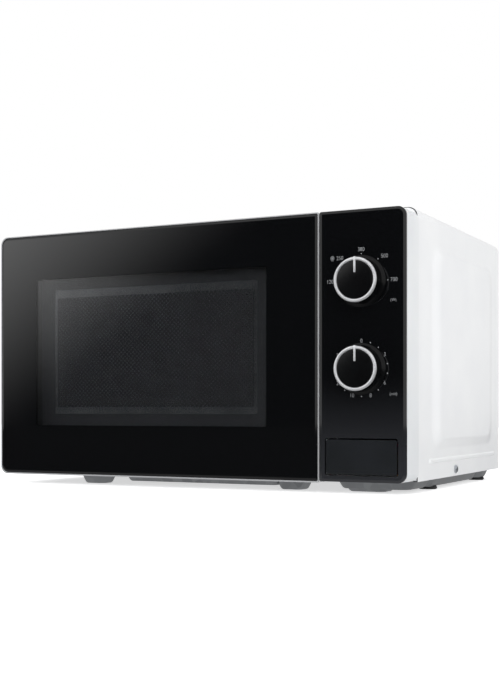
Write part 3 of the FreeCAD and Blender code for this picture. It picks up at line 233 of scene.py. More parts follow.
def bar(name, size, place, round_off):
    """Bar with rounded edges, given by its size and centre."""
    bpy.ops.object.select_all(action="DESELECT")
    bpy.ops.mesh.primitive_cube_add(size=1)
    obj = named(name)
    bpy.ops.object.mode_set(mode="EDIT")
    bpy.ops.mesh.select_all(action="SELECT")
    bpy.ops.transform.resize(value=size, center_override=(0, 0, 0))
    bpy.ops.mesh.bevel(offset=round_off, segments=3, affect="EDGES")
    bpy.ops.object.mode_set(mode="OBJECT")
    return close_up(settle(obj, place=place))


# ------------------------------------------------------------ materials
def linear(text):
    """Linear RGBA of an sRGB hex colour."""
    parts = [int(text[i:i + 2], 16) / 255 for i in (1, 3, 5)]
    return tuple(c / 12.92 if c <= 0.04045 else ((c + 0.055) / 1.055) ** 2.4 for c in parts) + (1.0,)


def per(mm):
    """Texture scale whose cells are about this many millimetres across."""
    return 1000.0 / mm


def add(tree, kind, values=(), links=(), to=None):
    """Add one node.

    Values are attributes, inputs or a ramp's stops. Links give the socket that feeds each input, and
    the first output feeds the socket given as to.
    """
    node = tree.nodes.new("ShaderNode" + kind)
    for key, value in dict(values).items():
        if key == "stops":
            ramp = node.color_ramp.elements
            for place, _ in value[2:]:
                ramp.new(place)
            for element, (place, colour) in zip(ramp, value):
                element.position = place
                element.color = colour
        elif isinstance(key, str) and hasattr(node, key):
            setattr(node, key, value)
        else:
            node.inputs[key].default_value = value
    for key, socket in dict(links).items():
        tree.links.new(socket, node.inputs[key])
    if to:
        tree.links.new(node.outputs[0], to)
    return node


def blank(name, shader):
    """New material with its shader: returns the material, its tree, the shader and object coordinates."""
    material = bpy.data.materials.new(name)
    material.use_nodes = True
    tree = material.node_tree
    tree.nodes.clear()
    bsdf = add(tree, "BsdfPrincipled", shader)
    add(tree, "OutputMaterial", links={"Surface": bsdf.outputs["BSDF"]})
    coords = add(tree, "TexCoord").outputs["Object"]
    return material, tree, bsdf, coords


def worn(tree, bsdf, coords, low, high, patch_mm, grain_mm, rough, depth_mm):
    """Slow drift between two tones, with a fine grain in the gloss and in the surface."""
    drift = add(tree, "TexNoise", {"Scale": per(patch_mm), "Detail": 3.0}, {"Vector": coords})
    tone = add(tree, "ValToRGB", {"stops": [(0.35, linear(low)), (0.65, linear(high))]},
               {"Fac": drift.outputs["Fac"]}, to=bsdf.inputs["Base Color"])
    grain = add(tree, "TexNoise", {"Scale": per(grain_mm), "Detail": 2.0}, {"Vector": coords})
    add(tree, "MapRange", {"To Min": rough[0], "To Max": rough[1]}, {"Value": grain.outputs["Fac"]},
        to=bsdf.inputs["Roughness"])
    if depth_mm:
        add(tree, "Bump", {"Distance": depth_mm * MM}, {"Height": grain.outputs["Fac"]},
            to=bsdf.inputs["Normal"])
    return tone


def plain_finish(name, low, high, patch_mm, grain_mm, rough, depth_mm, **shader):
    """Material with one even finish."""
    values = {key.replace("_", " "): value for key, value in shader.items()}
    material, tree, bsdf, coords = blank(name, values)
    worn(tree, bsdf, coords, low, high, patch_mm, grain_mm, rough, depth_mm)
    return material


def powder_coat():
    """Powder coat bakes to a satin skin with a shallow orange peel about 1.5 mm across."""
    return plain_finish("Powder coat, satin white", "#E2E3E5", "#E7E8E9", 70, 1.5, (0.32, 0.42), 0.012,
                        IOR=1.5, Coat_Weight=0.15, Coat_Roughness=0.25)


def coated_wrap_shaded_edge():
    """Pre-painted sheet of the cabinet: the same white skin, with a dark grey cut edge at the front. It is
    partly the bare steel of the cut and partly painted shade for the dark line in the gap to the control
    housing.
    """
    material = powder_coat()
    material.name = "Pre-painted steel, satin white"
    tree = material.node_tree
    bsdf = next(node for node in tree.nodes if node.type == "BSDF_PRINCIPLED")
    skin = bsdf.inputs["Base Color"].links[0].from_socket
    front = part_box("outer_cabinet")[0].y
    place = add(tree, "SeparateXYZ", links={"Vector": add(tree, "TexCoord").outputs["Object"]})
    # Painted shade: the front 0.1 mm of the sheet, its cut edge, turns dark grey to draw the shadow line of
    # the gap.
    edge = add(tree, "MapRange", {"From Min": front + 0.12 * MM, "From Max": front + 0.08 * MM},
               {"Value": place.outputs["Y"]})
    both = add(tree, "Mix", {"data_type": "RGBA", 7: linear("#3C3D3F")},
               {0: edge.outputs["Result"], 6: skin})
    tree.links.new(both.outputs[2], bsdf.inputs["Base Color"])
    return material


def cavity_enamel():
    """Epoxy enamel on the oven's inside: grey, a little glossier, with dots 0.9 mm wide, 2.2 mm apart."""
    material, tree, bsdf, coords = blank("Epoxy enamel, grey", {"IOR": 1.5})
    tone = worn(tree, bsdf, coords, "#8D8F91", "#999B9D", 45, 1.2, (0.28, 0.4), 0.01)
    speck = add(tree, "TexVoronoi", {"Scale": per(2.2)}, {"Vector": coords})
    dots = add(tree, "ValToRGB", {"stops": [(0.1, linear("#5E6062")), (0.2, linear("#FFFFFF"))]},
               {"Fac": speck.outputs["Distance"]})
    both = add(tree, "Mix", {"data_type": "RGBA", "blend_type": "MULTIPLY", 0: 0.6},
               {6: tone.outputs["Color"], 7: dots.outputs["Color"]})
    tree.links.new(both.outputs[2], bsdf.inputs["Base Color"])
    return material


def galvanised():
    """Hot-dipped zinc freezes into flat spangles 6 to 12 mm across, each with its own tone and gloss."""
    material, tree, bsdf, coords = blank("Galvanised steel, spangled", {"Metallic": 1.0})
    flakes = add(tree, "TexVoronoi", {"Scale": per(9), "Randomness": 1.0}, {"Vector": coords})
    add(tree, "ValToRGB", {"stops": [(0.0, linear("#8B8D90")), (1.0, linear("#A9ABAE"))]},
        {"Fac": flakes.outputs["Color"]}, to=bsdf.inputs["Base Color"])
    add(tree, "MapRange", {"To Min": 0.32, "To Max": 0.5}, {"Value": flakes.outputs["Color"]},
        to=bsdf.inputs["Roughness"])
    skin = add(tree, "TexNoise", {"Scale": per(1.5), "Detail": 3.0}, {"Vector": coords})
    add(tree, "Bump", {"Distance": 0.01 * MM}, {"Height": skin.outputs["Fac"]}, to=bsdf.inputs["Normal"])
    return material


def zinc_plate():
    """Bright zinc plate on small steel parts: pale blue-grey and fairly even."""
    return plain_finish("Zinc plated steel", "#A6ABB2", "#BCC0C5", 12, 0.6, (0.25, 0.36), 0.004, Metallic=1.0)


def drawn_wire():
    """Drawn spring wire: dark steel, finely mottled."""
    return plain_finish("Spring steel wire", "#5C5D60", "#85878B", 2, 0.3, (0.28, 0.42), 0.004, Metallic=1.0)


def bright_trim():
    """Satin chrome over plastic: a soft mirror with slight unevenness from moulding."""
    return plain_finish("Satin chrome trim", "#D2D3D6", "#E4E5E7", 8, 0.5, (0.4, 0.48), 0.002, Metallic=0.75)


def aluminium():
    """Rolled aluminium with faint rolling marks."""
    material, tree, bsdf, coords = blank("Rolled aluminium", {"Metallic": 1.0})
    lines = add(tree, "Mapping", {"Scale": (1.0, 18.0, 1.0)}, {"Vector": coords})
    worn(tree, bsdf, lines.outputs["Vector"], "#B6B8BB", "#CFD0D2", 14, 1.0, (0.28, 0.4), 0.003)
    return material


def copper():
    """Copper winding wire in clear enamel, seen as fine turns 1 mm apart."""
    shader = {"Metallic": 1.0, "Coat Weight": 0.5, "Coat Roughness": 0.15}
    material, tree, bsdf, coords = blank("Enamelled copper winding", shader)
    worn(tree, bsdf, coords, "#9A5430", "#B9713F", 10, 0.8, (0.25, 0.35), 0.0)
    turns = add(tree, "TexWave", {"bands_direction": "Z", "Scale": per(1.0) * WAVE_PERIOD,
                                  "Distortion": 0.6}, {"Vector": coords})
    add(tree, "Bump", {"Distance": 0.25 * MM}, {"Height": turns.outputs["Fac"]}, to=bsdf.inputs["Normal"])
    return material


def brass():
    """Pressed brass, lightly tarnished."""
    return plain_finish("Pressed brass", "#A98A45", "#C9A95C", 9, 0.7, (0.22, 0.38), 0.004, Metallic=1.0)


def lamination():
    """Varnished silicon steel sheets 0.5 mm thick, drawn 1.5 mm apart so that they show."""
    material, tree, bsdf, coords = blank("Varnished core laminations", {"Metallic": 0.7})
    worn(tree, bsdf, coords, "#37383B", "#515257", 16, 1.0, (0.38, 0.55), 0.0)
    sheets = add(tree, "TexWave", {"bands_direction": "Y", "Scale": per(1.5) * WAVE_PERIOD,
                                   "Distortion": 0.2}, {"Vector": coords})
    add(tree, "Bump", {"Distance": 0.2 * MM}, {"Height": sheets.outputs["Fac"]}, to=bsdf.inputs["Normal"])
    return material


def ferrite():
    """Sintered ferrite: almost black, matt and slightly pitted."""
    return plain_finish("Sintered ferrite", "#1D1D20", "#2B2B2F", 6, 0.7, (0.5, 0.7), 0.03)


def screen_paint():
    """Matt black paint baked on the punched screen and the inner door."""
    return plain_finish("Baked black paint", "#232428", "#292A2E", 24, 0.9, (0.42, 0.55), 0.01, IOR=1.5)


def printed_glass(name, bottom_tone, window):
    """Float glass with a black print fired on its back. Polished, with the faintest handling haze."""
    look = bpy.context.scene.oven_finish
    material, tree, bsdf, coords = blank(name, {"IOR": 1.52, "Specular IOR Level": 0.5})
    haze = add(tree, "TexNoise", {"Scale": per(60), "Detail": 4.0}, {"Vector": coords})
    add(tree, "MapRange", {"To Min": 0.03, "To Max": 0.06}, {"Value": haze.outputs["Fac"]},
        to=bsdf.inputs["Roughness"])
    ink = tuple(look.print_black) + (1.0,)
    place = add(tree, "SeparateXYZ", links={"Vector": coords})
    if window:
        lo, hi, clear = window
        inside = []
        for axis, a, b in (("X", lo.x, hi.x), ("Z", lo.z, hi.z)):
            off = add(tree, "Math", {"operation": "SUBTRACT", 1: (a + b) / 2}, {0: place.outputs[axis]})
            away = add(tree, "Math", {"operation": "ABSOLUTE"}, {0: off.outputs[0]})
            edge = (b - a) / 2
            span = {"From Min": edge + PRINT_EDGE, "From Max": edge - PRINT_EDGE}
            inside.append(add(tree, "MapRange", span, {"Value": away.outputs[0]}))
        mask = add(tree, "Math", {"operation": "MULTIPLY"},
                   {0: inside[0].outputs["Result"], 1: inside[1].outputs["Result"]})
        open_all = add(tree, "MapRange", {"From Min": 0.96, "From Max": 1.0}, {"Value": mask.outputs[0]})
        colour = add(tree, "Mix", {"data_type": "RGBA", 6: ink, 7: linear(clear)},
                     {0: open_all.outputs["Result"]})
        tree.links.new(mask.outputs[0], bsdf.inputs["Transmission Weight"])
    else:
        # The control panel's glass is lighter towards the bottom: a dark grey there fades into the black
        # print over the lowest 42 % of its height.
        lo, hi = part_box("control_fascia")
        fade = add(tree, "MapRange", {"From Min": lo.z, "From Max": lo.z + 0.42 * (hi.z - lo.z),
                                      "interpolation_type": "SMOOTHSTEP"}, {"Value": place.outputs["Z"]})
        colour = add(tree, "Mix", {"data_type": "RGBA", 6: linear(bottom_tone), 7: ink}, {0: fade.outputs["Result"]})
    tree.links.new(colour.outputs[2], bsdf.inputs["Base Color"])
    return material


def pressed_glass():
    """Clear soda-lime glass pressed in a mould, with a faint wave."""
    material, tree, bsdf, coords = blank("Pressed clear glass", {"IOR": 1.52, "Transmission Weight": 0.86})
    worn(tree, bsdf, coords, "#F1F6F4", "#FBFDFC", 60, 14, (0.02, 0.05), 0.05)
    return material


def bulb_glass():
    """Thin clear bulb glass with a slight warm smoke."""
    material, tree, bsdf, coords = blank("Clear bulb glass", {"IOR": 1.5, "Transmission Weight": 0.85})
    worn(tree, bsdf, coords, "#F7EBCF", "#FFF8E8", 8, 3, (0.04, 0.09), 0.01)
    return material


def clear_film():
    """Clear polyester film behind the screen, slightly hazy."""
    material, tree, bsdf, coords = blank("Clear polyester film", {"IOR": 1.57, "Transmission Weight": 0.9})
    worn(tree, bsdf, coords, "#C9CBCD", "#DADCDE", 40, 5, (0.08, 0.16), 0.01)
    return material


def moulded_white():
    """Injection-moulded ABS: white, satin, with the fine spark texture of the mould."""
    return plain_finish("Moulded ABS, white", "#D8D9DB", "#DEDFE0", 60, 0.8, (0.36, 0.46), 0.012,
                        IOR=1.53, Subsurface_Weight=0.03)


def door_frame_with_shaded_rim():
    """White ABS of the door frame, with its front edge round the glass painted grey as shade, the colour the
    white edge takes in shadow there.
    """
    material, tree, bsdf, coords = blank("Moulded ABS, white with grey rim", {"IOR": 1.53})
    tone = worn(tree, bsdf, coords, "#D8D9DB", "#DEDFE0", 60, 0.8, (0.34, 0.44), 0.012)
    place = add(tree, "SeparateXYZ", links={"Vector": coords})
    rim = add(tree, "MapRange", {"From Min": GLASS_Y + 2.0 * MM, "From Max": GLASS_Y + 1.5 * MM},
              {"Value": place.outputs["Y"]})
    # Painted shade: the frame's front 2 mm next to the glass turns grey, as the white edge looks in shadow.
    both = add(tree, "Mix", {"data_type": "RGBA", 7: linear("#97989A")},
               {0: rim.outputs["Result"], 6: tone.outputs["Color"]})
    tree.links.new(both.outputs[2], bsdf.inputs["Base Color"])
    return material


def moulded_nylon():
    """Natural nylon for wheels, rotor and latch: off-white and slightly waxy."""
    return plain_finish("Moulded nylon, natural", "#D6D2C6", "#E1DED4", 30, 0.7, (0.4, 0.52), 0.01,
                        IOR=1.53, Subsurface_Weight=0.06)


def moulded_grey():
    """Mid-grey polypropylene of the choke cover, the moving latch parts and the timer's case."""
    return plain_finish("Moulded polypropylene, grey", "#47484B", "#515256", 40, 0.9, (0.42, 0.54), 0.015,
                        IOR=1.49)


def moulded_black():
    """Black glass-filled PBT with a fine matt texture."""
    return plain_finish("Moulded PBT, black", "#141516", "#1C1D1F", 30, 0.8, (0.4, 0.55), 0.015, IOR=1.55)


def button_plastic():
    """High-gloss ABS cap of the opening button, a dark grey a shade lighter than the glass."""
    return plain_finish("Gloss ABS, dark grey", "#17191B", "#1B1D20", 40, 4, (0.12, 0.18), 0.004, IOR=1.54)


def knob_plastic():
    """Gloss ABS of the knobs: near black with the slight wave of a polished mould."""
    return plain_finish("Gloss ABS, black", "#050506", "#08090A", 20, 3, (0.16, 0.24), 0.004,
                        Specular_IOR_Level=0.22)


def phenolic():
    """Brown phenolic paper board with a resin sheen."""
    return plain_finish("Phenolic board", "#7A5A2C", "#8E6C38", 8, 0.8, (0.35, 0.5), 0.01, IOR=1.6)


def mica():
    """Pressed mica paper: pale grey-brown flakes with a pearly gloss."""
    material, tree, bsdf, coords = blank("Pressed mica", {"IOR": 1.58, "Sheen Weight": 0.2})
    worn(tree, bsdf, coords, "#A79F8C", "#BDB6A4", 12, 1.0, (0.3, 0.5), 0.0)
    flakes = add(tree, "TexVoronoi", {"Scale": per(3)}, {"Vector": coords})
    add(tree, "Bump", {"Distance": 0.04 * MM}, {"Height": flakes.outputs["Color"]}, to=bsdf.inputs["Normal"])
    return material


def rubber():
    """Moulded nitrile rubber with a dusty matt skin."""
    return plain_finish("Moulded rubber, black", "#17181A", "#242527", 10, 0.9, (0.6, 0.78), 0.02)


def printed_ink():
    """Screen-printed grey ink with slight grain along its edges."""
    return plain_finish("Screen print, light grey", "#8C8E91", "#9D9FA1", 3, 0.4, (0.5, 0.65), 0.003)


BY_SLOT = {
    "white_enamel": powder_coat, "grey_enamel": cavity_enamel, "galvanised_steel": galvanised,
    "zinc_steel": zinc_plate, "spring_steel": drawn_wire, "screen_steel": screen_paint,
    "core_steel": lamination, "ferrite": ferrite, "copper": copper, "brass": brass,
    "aluminium": aluminium, "bright_trim": bright_trim, "tray_glass": pressed_glass,
    "bulb_glass": bulb_glass, "clear_film": clear_film, "white_plastic": moulded_white,
    "grey_plastic": moulded_grey, "black_plastic": moulded_black, "button_black": button_plastic,
    "knob_black": knob_plastic, "circuit_board": phenolic, "mica": mica, "rubber": rubber,
}
NYLON = ("fan_rotor", "fan_shroud", "roller_1", "roller_2", "roller_3", "roller_ring", "drive_hub",
         "latch_body")
BY_NODE = {"outer_cabinet": coated_wrap_shaded_edge, "door_frame": door_frame_with_shaded_rim, **dict.fromkeys(NYLON, moulded_nylon)}
MADE = {}


def made(maker):
    """The one material that a maker gives."""
    if maker not in MADE:
        MADE[maker] = maker()
    return MADE[maker]


def wear(obj, material):
    """Give a new piece its one material."""
    obj.data.materials.clear()
    obj.data.materials.append(material)
    return obj


# ------------------------------------------------------------ operators
class OVEN_OT_finish_frame(bpy.types.Operator):
    """Give every piece of the frame its real finish"""
    bl_idname = "oven.finish_frame"
    bl_label = "Finish the frame"

    def execute(self, context):
        slot_of = {part["node"]: part["material_slot"] for part in frame["record"]["subparts"]}
        clear_lo = WINDOW_LO + Vector((BEZEL_WALL, 0, BEZEL_WALL))
        clear_hi = WINDOW_HI - Vector((BEZEL_WALL, 0, BEZEL_WALL))
        for name, obj in frame["nodes"].items():
            if name == "door_glass":
                material = printed_glass("Float glass, printed, clear window", None,
                                         (clear_lo, clear_hi, "#E4E6E8"))
            elif name == "control_fascia":
                material = printed_glass("Float glass, printed, fading", "#242528", None)
            elif name in BY_NODE:
                material = made(BY_NODE[name])
            else:
                material = made(BY_SLOT[slot_of[name]])
            for slot in obj.material_slots:
                slot.material = material
        return {"FINISHED"}


class OVEN_OT_screen(bpy.types.Operator):
    """Punch the door's screen with its offset rows of round holes"""
    bl_idname = "oven.screen"
    bl_label = "Punched screen"

    def execute(self, context):
        size = context.scene.oven_screen
        w, h = size.pitch_x, size.pitch_z
        bpy.ops.object.select_all(action="DESELECT")
        bpy.ops.mesh.primitive_plane_add(size=1)
        obj = named("punched_screen")
        bpy.ops.object.mode_set(mode="EDIT")
        bpy.ops.mesh.select_all(action="SELECT")
        bpy.ops.transform.resize(value=(w, h, 1), center_override=(0, 0, 0))
        bpy.ops.mesh.subdivide(number_cuts=1)
        pick(obj, lambda co: co.length < 1e-6)
        bpy.ops.mesh.delete(type="VERT")
        bpy.ops.mesh.primitive_circle_add(vertices=8, radius=size.hole, fill_type="NOTHING")
        bpy.ops.mesh.select_all(action="SELECT")
        bpy.ops.mesh.bridge_edge_loops()
        bpy.ops.mesh.select_all(action="SELECT")
        bpy.ops.transform.translate(value=(w / 2, h / 2, 0))
        bpy.ops.object.mode_set(mode="OBJECT")
        self.repeat(obj, (w, 0, 0), size.columns)
        bpy.ops.object.mode_set(mode="EDIT")
        bpy.ops.mesh.select_all(action="SELECT")
        bpy.ops.mesh.duplicate_move(TRANSFORM_OT_translate={"value": (w / 2, h, 0)})
        for x, y in ((size.columns * w + w / 4, h / 2), (w / 4, 3 * h / 2)):
            bpy.ops.mesh.select_all(action="DESELECT")
            bpy.ops.mesh.primitive_plane_add(size=1, location=(x, y, 0))
            bpy.ops.transform.resize(value=(w / 2, h, 1), center_override=(x, y, 0))
        bpy.ops.object.mode_set(mode="OBJECT")
        self.repeat(obj, (0, 2 * h, 0), size.row_pairs)
        self.weld(obj)
        sheet = obj.modifiers.new("Sheet", "SOLIDIFY")
        sheet.thickness = size.thickness
        sheet.offset = -1.0
        apply_all(obj)
        lo = SCREEN_LO
        settle(obj, (math.pi / 2, 0, 0), (lo.x + size.left, lo.y, lo.z + size.low))
        wear(obj, made(screen_paint))
        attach(obj, "door")
        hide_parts("door_screen")
        return {"FINISHED"}

    def repeat(self, obj, step, count):
        """Copy the tile in a row and merge where copies meet."""
        array = obj.modifiers.new("Repeat", "ARRAY")
        array.use_relative_offset = False
        array.use_constant_offset = True
        array.constant_offset_displace = step
        array.count = count
        array.use_merge_vertices = True
        array.merge_threshold = 1e-6
        apply_all(obj)

    def weld(self, obj):
        """Merge the edges where tiles meet and face them all one way."""
        only(obj)
        bpy.ops.object.mode_set(mode="EDIT")
        bpy.ops.mesh.select_mode(type="VERT")
        bpy.ops.mesh.select_all(action="SELECT")
        bpy.ops.mesh.remove_doubles(threshold=1e-6)
        bpy.ops.mesh.normals_make_consistent(inside=False)
        bpy.ops.object.mode_set(mode="OBJECT")


class OVEN_OT_knobs(bpy.types.Operator):
    """Turn both knobs with their skirts, bright rings and pointers"""
    bl_idname = "oven.knobs"
    bl_label = "Knobs"

    def execute(self, context):
        size = context.scene.oven_knobs
        for kind in ("power", "timer"):
            knob = kind + "_knob"
            centre = dial_centre(knob)
            lo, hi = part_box(knob)
            trim_lo, trim_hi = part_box(knob + "_trim")
            skirt = (hi.x - lo.x) / 2
            r = (trim_hi.x - trim_lo.x) / 2
            out = GLASS_Y - trim_lo.y
            gap = GLASS_Y - hi.y
            self.body(kind, knob, centre, skirt, r, out, gap, size)
            self.trim(kind, knob, centre, r, out, trim_hi.z, size)
        return {"FINISHED"}

    def body(self, kind, knob, centre, skirt, r, out, gap, size):
        lip = out - RING_DEPTH
        inner = r - size.ring_width
        profile = [(skirt - 0.4 * MM, gap), (skirt, gap + 0.3 * MM), (skirt, gap + 0.9 * MM),
                   (skirt - 0.35 * MM, gap + 1.2 * MM), (r + 1.6 * MM, gap + 1.5 * MM),
                   (r + 0.5 * MM, gap + 2.3 * MM), (r - 0.1 * MM, gap + 3.6 * MM),
                   (r - 0.55 * MM, lip - 1.2 * MM), (r - 0.9 * MM, lip - 0.5 * MM), (r - 0.9 * MM, lip),
                   (inner + 0.05 * MM, lip), (inner, out - 0.9 * MM), (inner - 0.35 * MM, out - 0.6 * MM),
                   (inner - 0.9 * MM, out - 0.5 * MM), (0.05 * MM, out - 0.45 * MM)]
        obj = turned(kind + "_knob_body", profile, size.segments)
        settle(obj, (math.pi / 2, 0, 0), centre)
        wear(obj, made(knob_plastic))
        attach(obj, kind + "_knob")
        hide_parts(knob)

    def trim(self, kind, knob, centre, r, out, top, size):
        lip = out - RING_DEPTH
        inner = r - size.ring_width
        profile = [(inner + 0.1 * MM, lip + 0.05 * MM), (r - 0.5 * MM, lip + 0.05 * MM), (r, lip + 0.5 * MM),
                   (r, out - 1.2 * MM), (r - 0.2 * MM, out - 0.65 * MM), (r - 0.6 * MM, out - 0.25 * MM),
                   (r - 1.1 * MM, out - 0.04 * MM), (r - 1.5 * MM, out), (r - 1.9 * MM, out - 0.04 * MM),
                   (r - 2.4 * MM, out - 0.25 * MM), (inner + 0.2 * MM, out - 0.65 * MM),
                   (inner + 0.1 * MM, out - 1.2 * MM)]
        ring = turned(kind + "_ring", profile, size.segments, closed=True)
        settle(ring, (math.pi / 2, 0, 0), centre)
        pointer = bar(kind + "_pointer", (size.pointer_width, 0.8 * MM, size.pointer_length),
                      (centre.x, GLASS_Y - out + 0.4 * MM, top - size.pointer_length / 2), 0.2 * MM)
        obj = merge(kind + "_knob_bright", [ring, pointer])
        wear(obj, made(bright_trim))
        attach(obj, kind + "_knob")
        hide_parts(knob + "_trim")


class OVEN_OT_scales(bpy.types.Operator):
    """Print the dots, figures and thaw sign round both knobs"""
    bl_idname = "oven.scales"
    bl_label = "Dial scales"

    NUMBER_SIZE = 1.36                                  # text size of a number, in figure heights
    UNIT_SIZE = 1.02                                    # the same for a unit in brackets
    THINNER = 0.012                                     # taken off the strokes, in text sizes
    NARROWER = 0.86
    NUMBERS_OUT = 0.5 * MM                              # circle of the timer's numbers past the dots
    POWER = (("380", -0.2, 28.7), ("500", 21.6, 21.7), ("700", 30.3, 0.3), ("250", -20.6, 21.8),
             ("120", -29.7, 0.9), ("(W)", 29.8, -18.1))
    POWER_DOTS = (0, 39, 90, -40, -90)
    TIMER = (("0", 0), ("3", 60), ("6", 120), ("8", 160), ("10", 200), ("20", 240), ("35", 300))
    TIMER_DOTS = (20, 40, 80, 100, 140, 180, 220, 260, 280)

    def execute(self, context):
        self.size = context.scene.oven_scales
        power = dial_centre("power_knob")
        marks = [self.dot(power, turn) for turn in self.POWER_DOTS]
        marks += [self.figure(text, power, x * MM, z * MM) for text, x, z in self.POWER]
        marks += self.thaw_sign(power, -27.7 * MM, 21.7 * MM)
        self.print_on(marks, "power_scale")
        timer = dial_centre("timer_knob")
        ring = self.size.circle + self.NUMBERS_OUT
        marks = [self.dot(timer, turn) for turn in self.TIMER_DOTS]
        for text, turn in self.TIMER:
            a = math.radians(turn)
            marks.append(self.figure(text, timer, ring * math.sin(a), ring * math.cos(a)))
        marks.append(self.figure("(min)", timer, 29.8 * MM, -22.8 * MM))
        self.print_on(marks, "timer_scale")
        return {"FINISHED"}

    def print_on(self, marks, name):
        obj = merge(name, marks)
        wear(obj, made(printed_ink))
        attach(obj, "oven")

    def lay(self, obj, centre, x, z):
        """Stand a flat mark upright on the glass."""
        return settle(obj, (math.pi / 2, 0, 0), (centre.x + x, GLASS_Y, centre.z + z))

    def raise_ink(self, obj):
        only(obj)
        bpy.ops.object.mode_set(mode="EDIT")
        bpy.ops.mesh.select_all(action="SELECT")
        bpy.ops.mesh.extrude_region_move(TRANSFORM_OT_translate={"value": (0, 0, self.size.ink)})
        bpy.ops.object.mode_set(mode="OBJECT")
        return obj

    def dot(self, centre, turn):
        a = math.radians(turn)
        r = self.size.circle
        bpy.ops.object.select_all(action="DESELECT")
        bpy.ops.mesh.primitive_circle_add(vertices=12, radius=self.size.dot, fill_type="NGON")
        obj = self.raise_ink(named("dot"))
        return self.lay(obj, centre, r * math.sin(a), r * math.cos(a))

    def figure(self, text, centre, x, z):
        scale = self.UNIT_SIZE if text.startswith("(") else self.NUMBER_SIZE
        bpy.ops.object.select_all(action="DESELECT")
        bpy.ops.object.text_add()
        obj = bpy.context.object
        obj.data.body = text
        obj.data.align_x = "CENTER"
        obj.data.align_y = "CENTER"
        obj.data.size = self.size.figure * scale
        obj.data.resolution_u = 4
        obj.data.offset = -self.THINNER * obj.data.size
        only(obj)
        bpy.ops.object.convert(target="MESH")
        obj = self.raise_ink(named("figure"))
        only(obj)
        bpy.ops.object.origin_set(type="ORIGIN_GEOMETRY", center="BOUNDS")
        obj.location = (0, 0, 0)
        obj.scale = (self.NARROWER, 1, 1)
        bpy.ops.object.transform_apply(location=False, rotation=False, scale=True)
        return self.lay(obj, centre, x, z)

    def thaw_sign(self, centre, x, z):
        """Small ring with six crossing strokes and drops under it."""
        ink = self.size.ink
        outer = 1.75 * MM
        inner = outer - 0.3 * MM
        up = z + 0.3 * MM
        ring = turned("thaw_ring", [(outer, 0), (outer, ink), (inner, ink), (inner, 0)], 32, closed=True)
        marks = [self.lay(ring, centre, x, up)]
        for turn in (0, 60, 120):
            stroke = bar("stroke", (0.22 * MM, 2.3 * MM, ink), (0, 0, ink / 2), 0.01 * MM)
            stroke.rotation_euler = (0, 0, math.radians(turn))
            only(stroke)
            bpy.ops.object.transform_apply(location=False, rotation=True, scale=False)
            marks.append(self.lay(stroke, centre, x, up))
        for dx in (-0.7, 0.7):
            bpy.ops.object.select_all(action="DESELECT")
            bpy.ops.mesh.primitive_circle_add(vertices=10, radius=0.28 * MM, fill_type="NGON")
            marks.append(self.lay(self.raise_ink(named("drop")), centre, x + dx * MM, z - 2.1 * MM))
        return marks


class OVEN_OT_springs(bpy.types.Operator):
    """Wind the button's spring and the door key's spring"""
    bl_idname = "oven.springs"
    bl_label = "Coil springs"

    def execute(self, context):
        for node, joint, body, axis, travel in (
                ("button_spring", "push_button_press", "oven", "y", BUTTON_TRAVEL),
                ("door_key_spring", "door_key_lift", "door", "z", KEY_LIFT)):
            lo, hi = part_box(node)
            along = "xyz".index(axis)
            length = hi[along] - lo[along]
            wide = hi.x - lo.x
            obj = self.coil(node + "_coil", length, wide / 2, context.scene.oven_springs)
            middle = (lo + hi) / 2
            if axis == "y":
                settle(obj, (-math.pi / 2, 0, 0), (middle.x, lo.y, middle.z))
            else:
                settle(obj, place=(middle.x, middle.y, lo.z))
            wear(obj, made(drawn_wire))
            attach(obj, body)
            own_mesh(obj)
            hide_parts(node)
        return {"FINISHED"}

    def coil(self, name, length, outer, size):
        """Spin the wire's section round the axis, then lift the turns apart."""
        bpy.ops.object.select_all(action="DESELECT")
        bpy.ops.mesh.primitive_circle_add(vertices=WIRE_SIDES, radius=size.wire, fill_type="NGON",
                                          rotation=(math.pi / 2, 0, 0),
                                          location=(outer - size.wire, 0, size.wire))
        obj = named(name)
        bpy.ops.object.transform_apply(location=True, rotation=True, scale=True)
        bpy.ops.object.mode_set(mode="EDIT")
        bpy.ops.mesh.select_all(action="SELECT")
        bpy.ops.mesh.spin(steps=size.turns * STEPS_PER_TURN, angle=size.turns * 2 * math.pi,
                          center=(0, 0, 0), axis=(0, 0, 1))
        bpy.ops.object.mode_set(mode="OBJECT")
        return self.rise(obj, length, size)

    def rise(self, obj, length, size):
        """Lift the turns evenly from end to end."""
        rows = size.turns * STEPS_PER_TURN
        for index, vert in enumerate(obj.data.vertices):
            row = min(index // WIRE_SIDES, rows)
            vert.co.z += (length - 2 * size.wire) * row / rows
        return close_up(obj, math.radians(60))


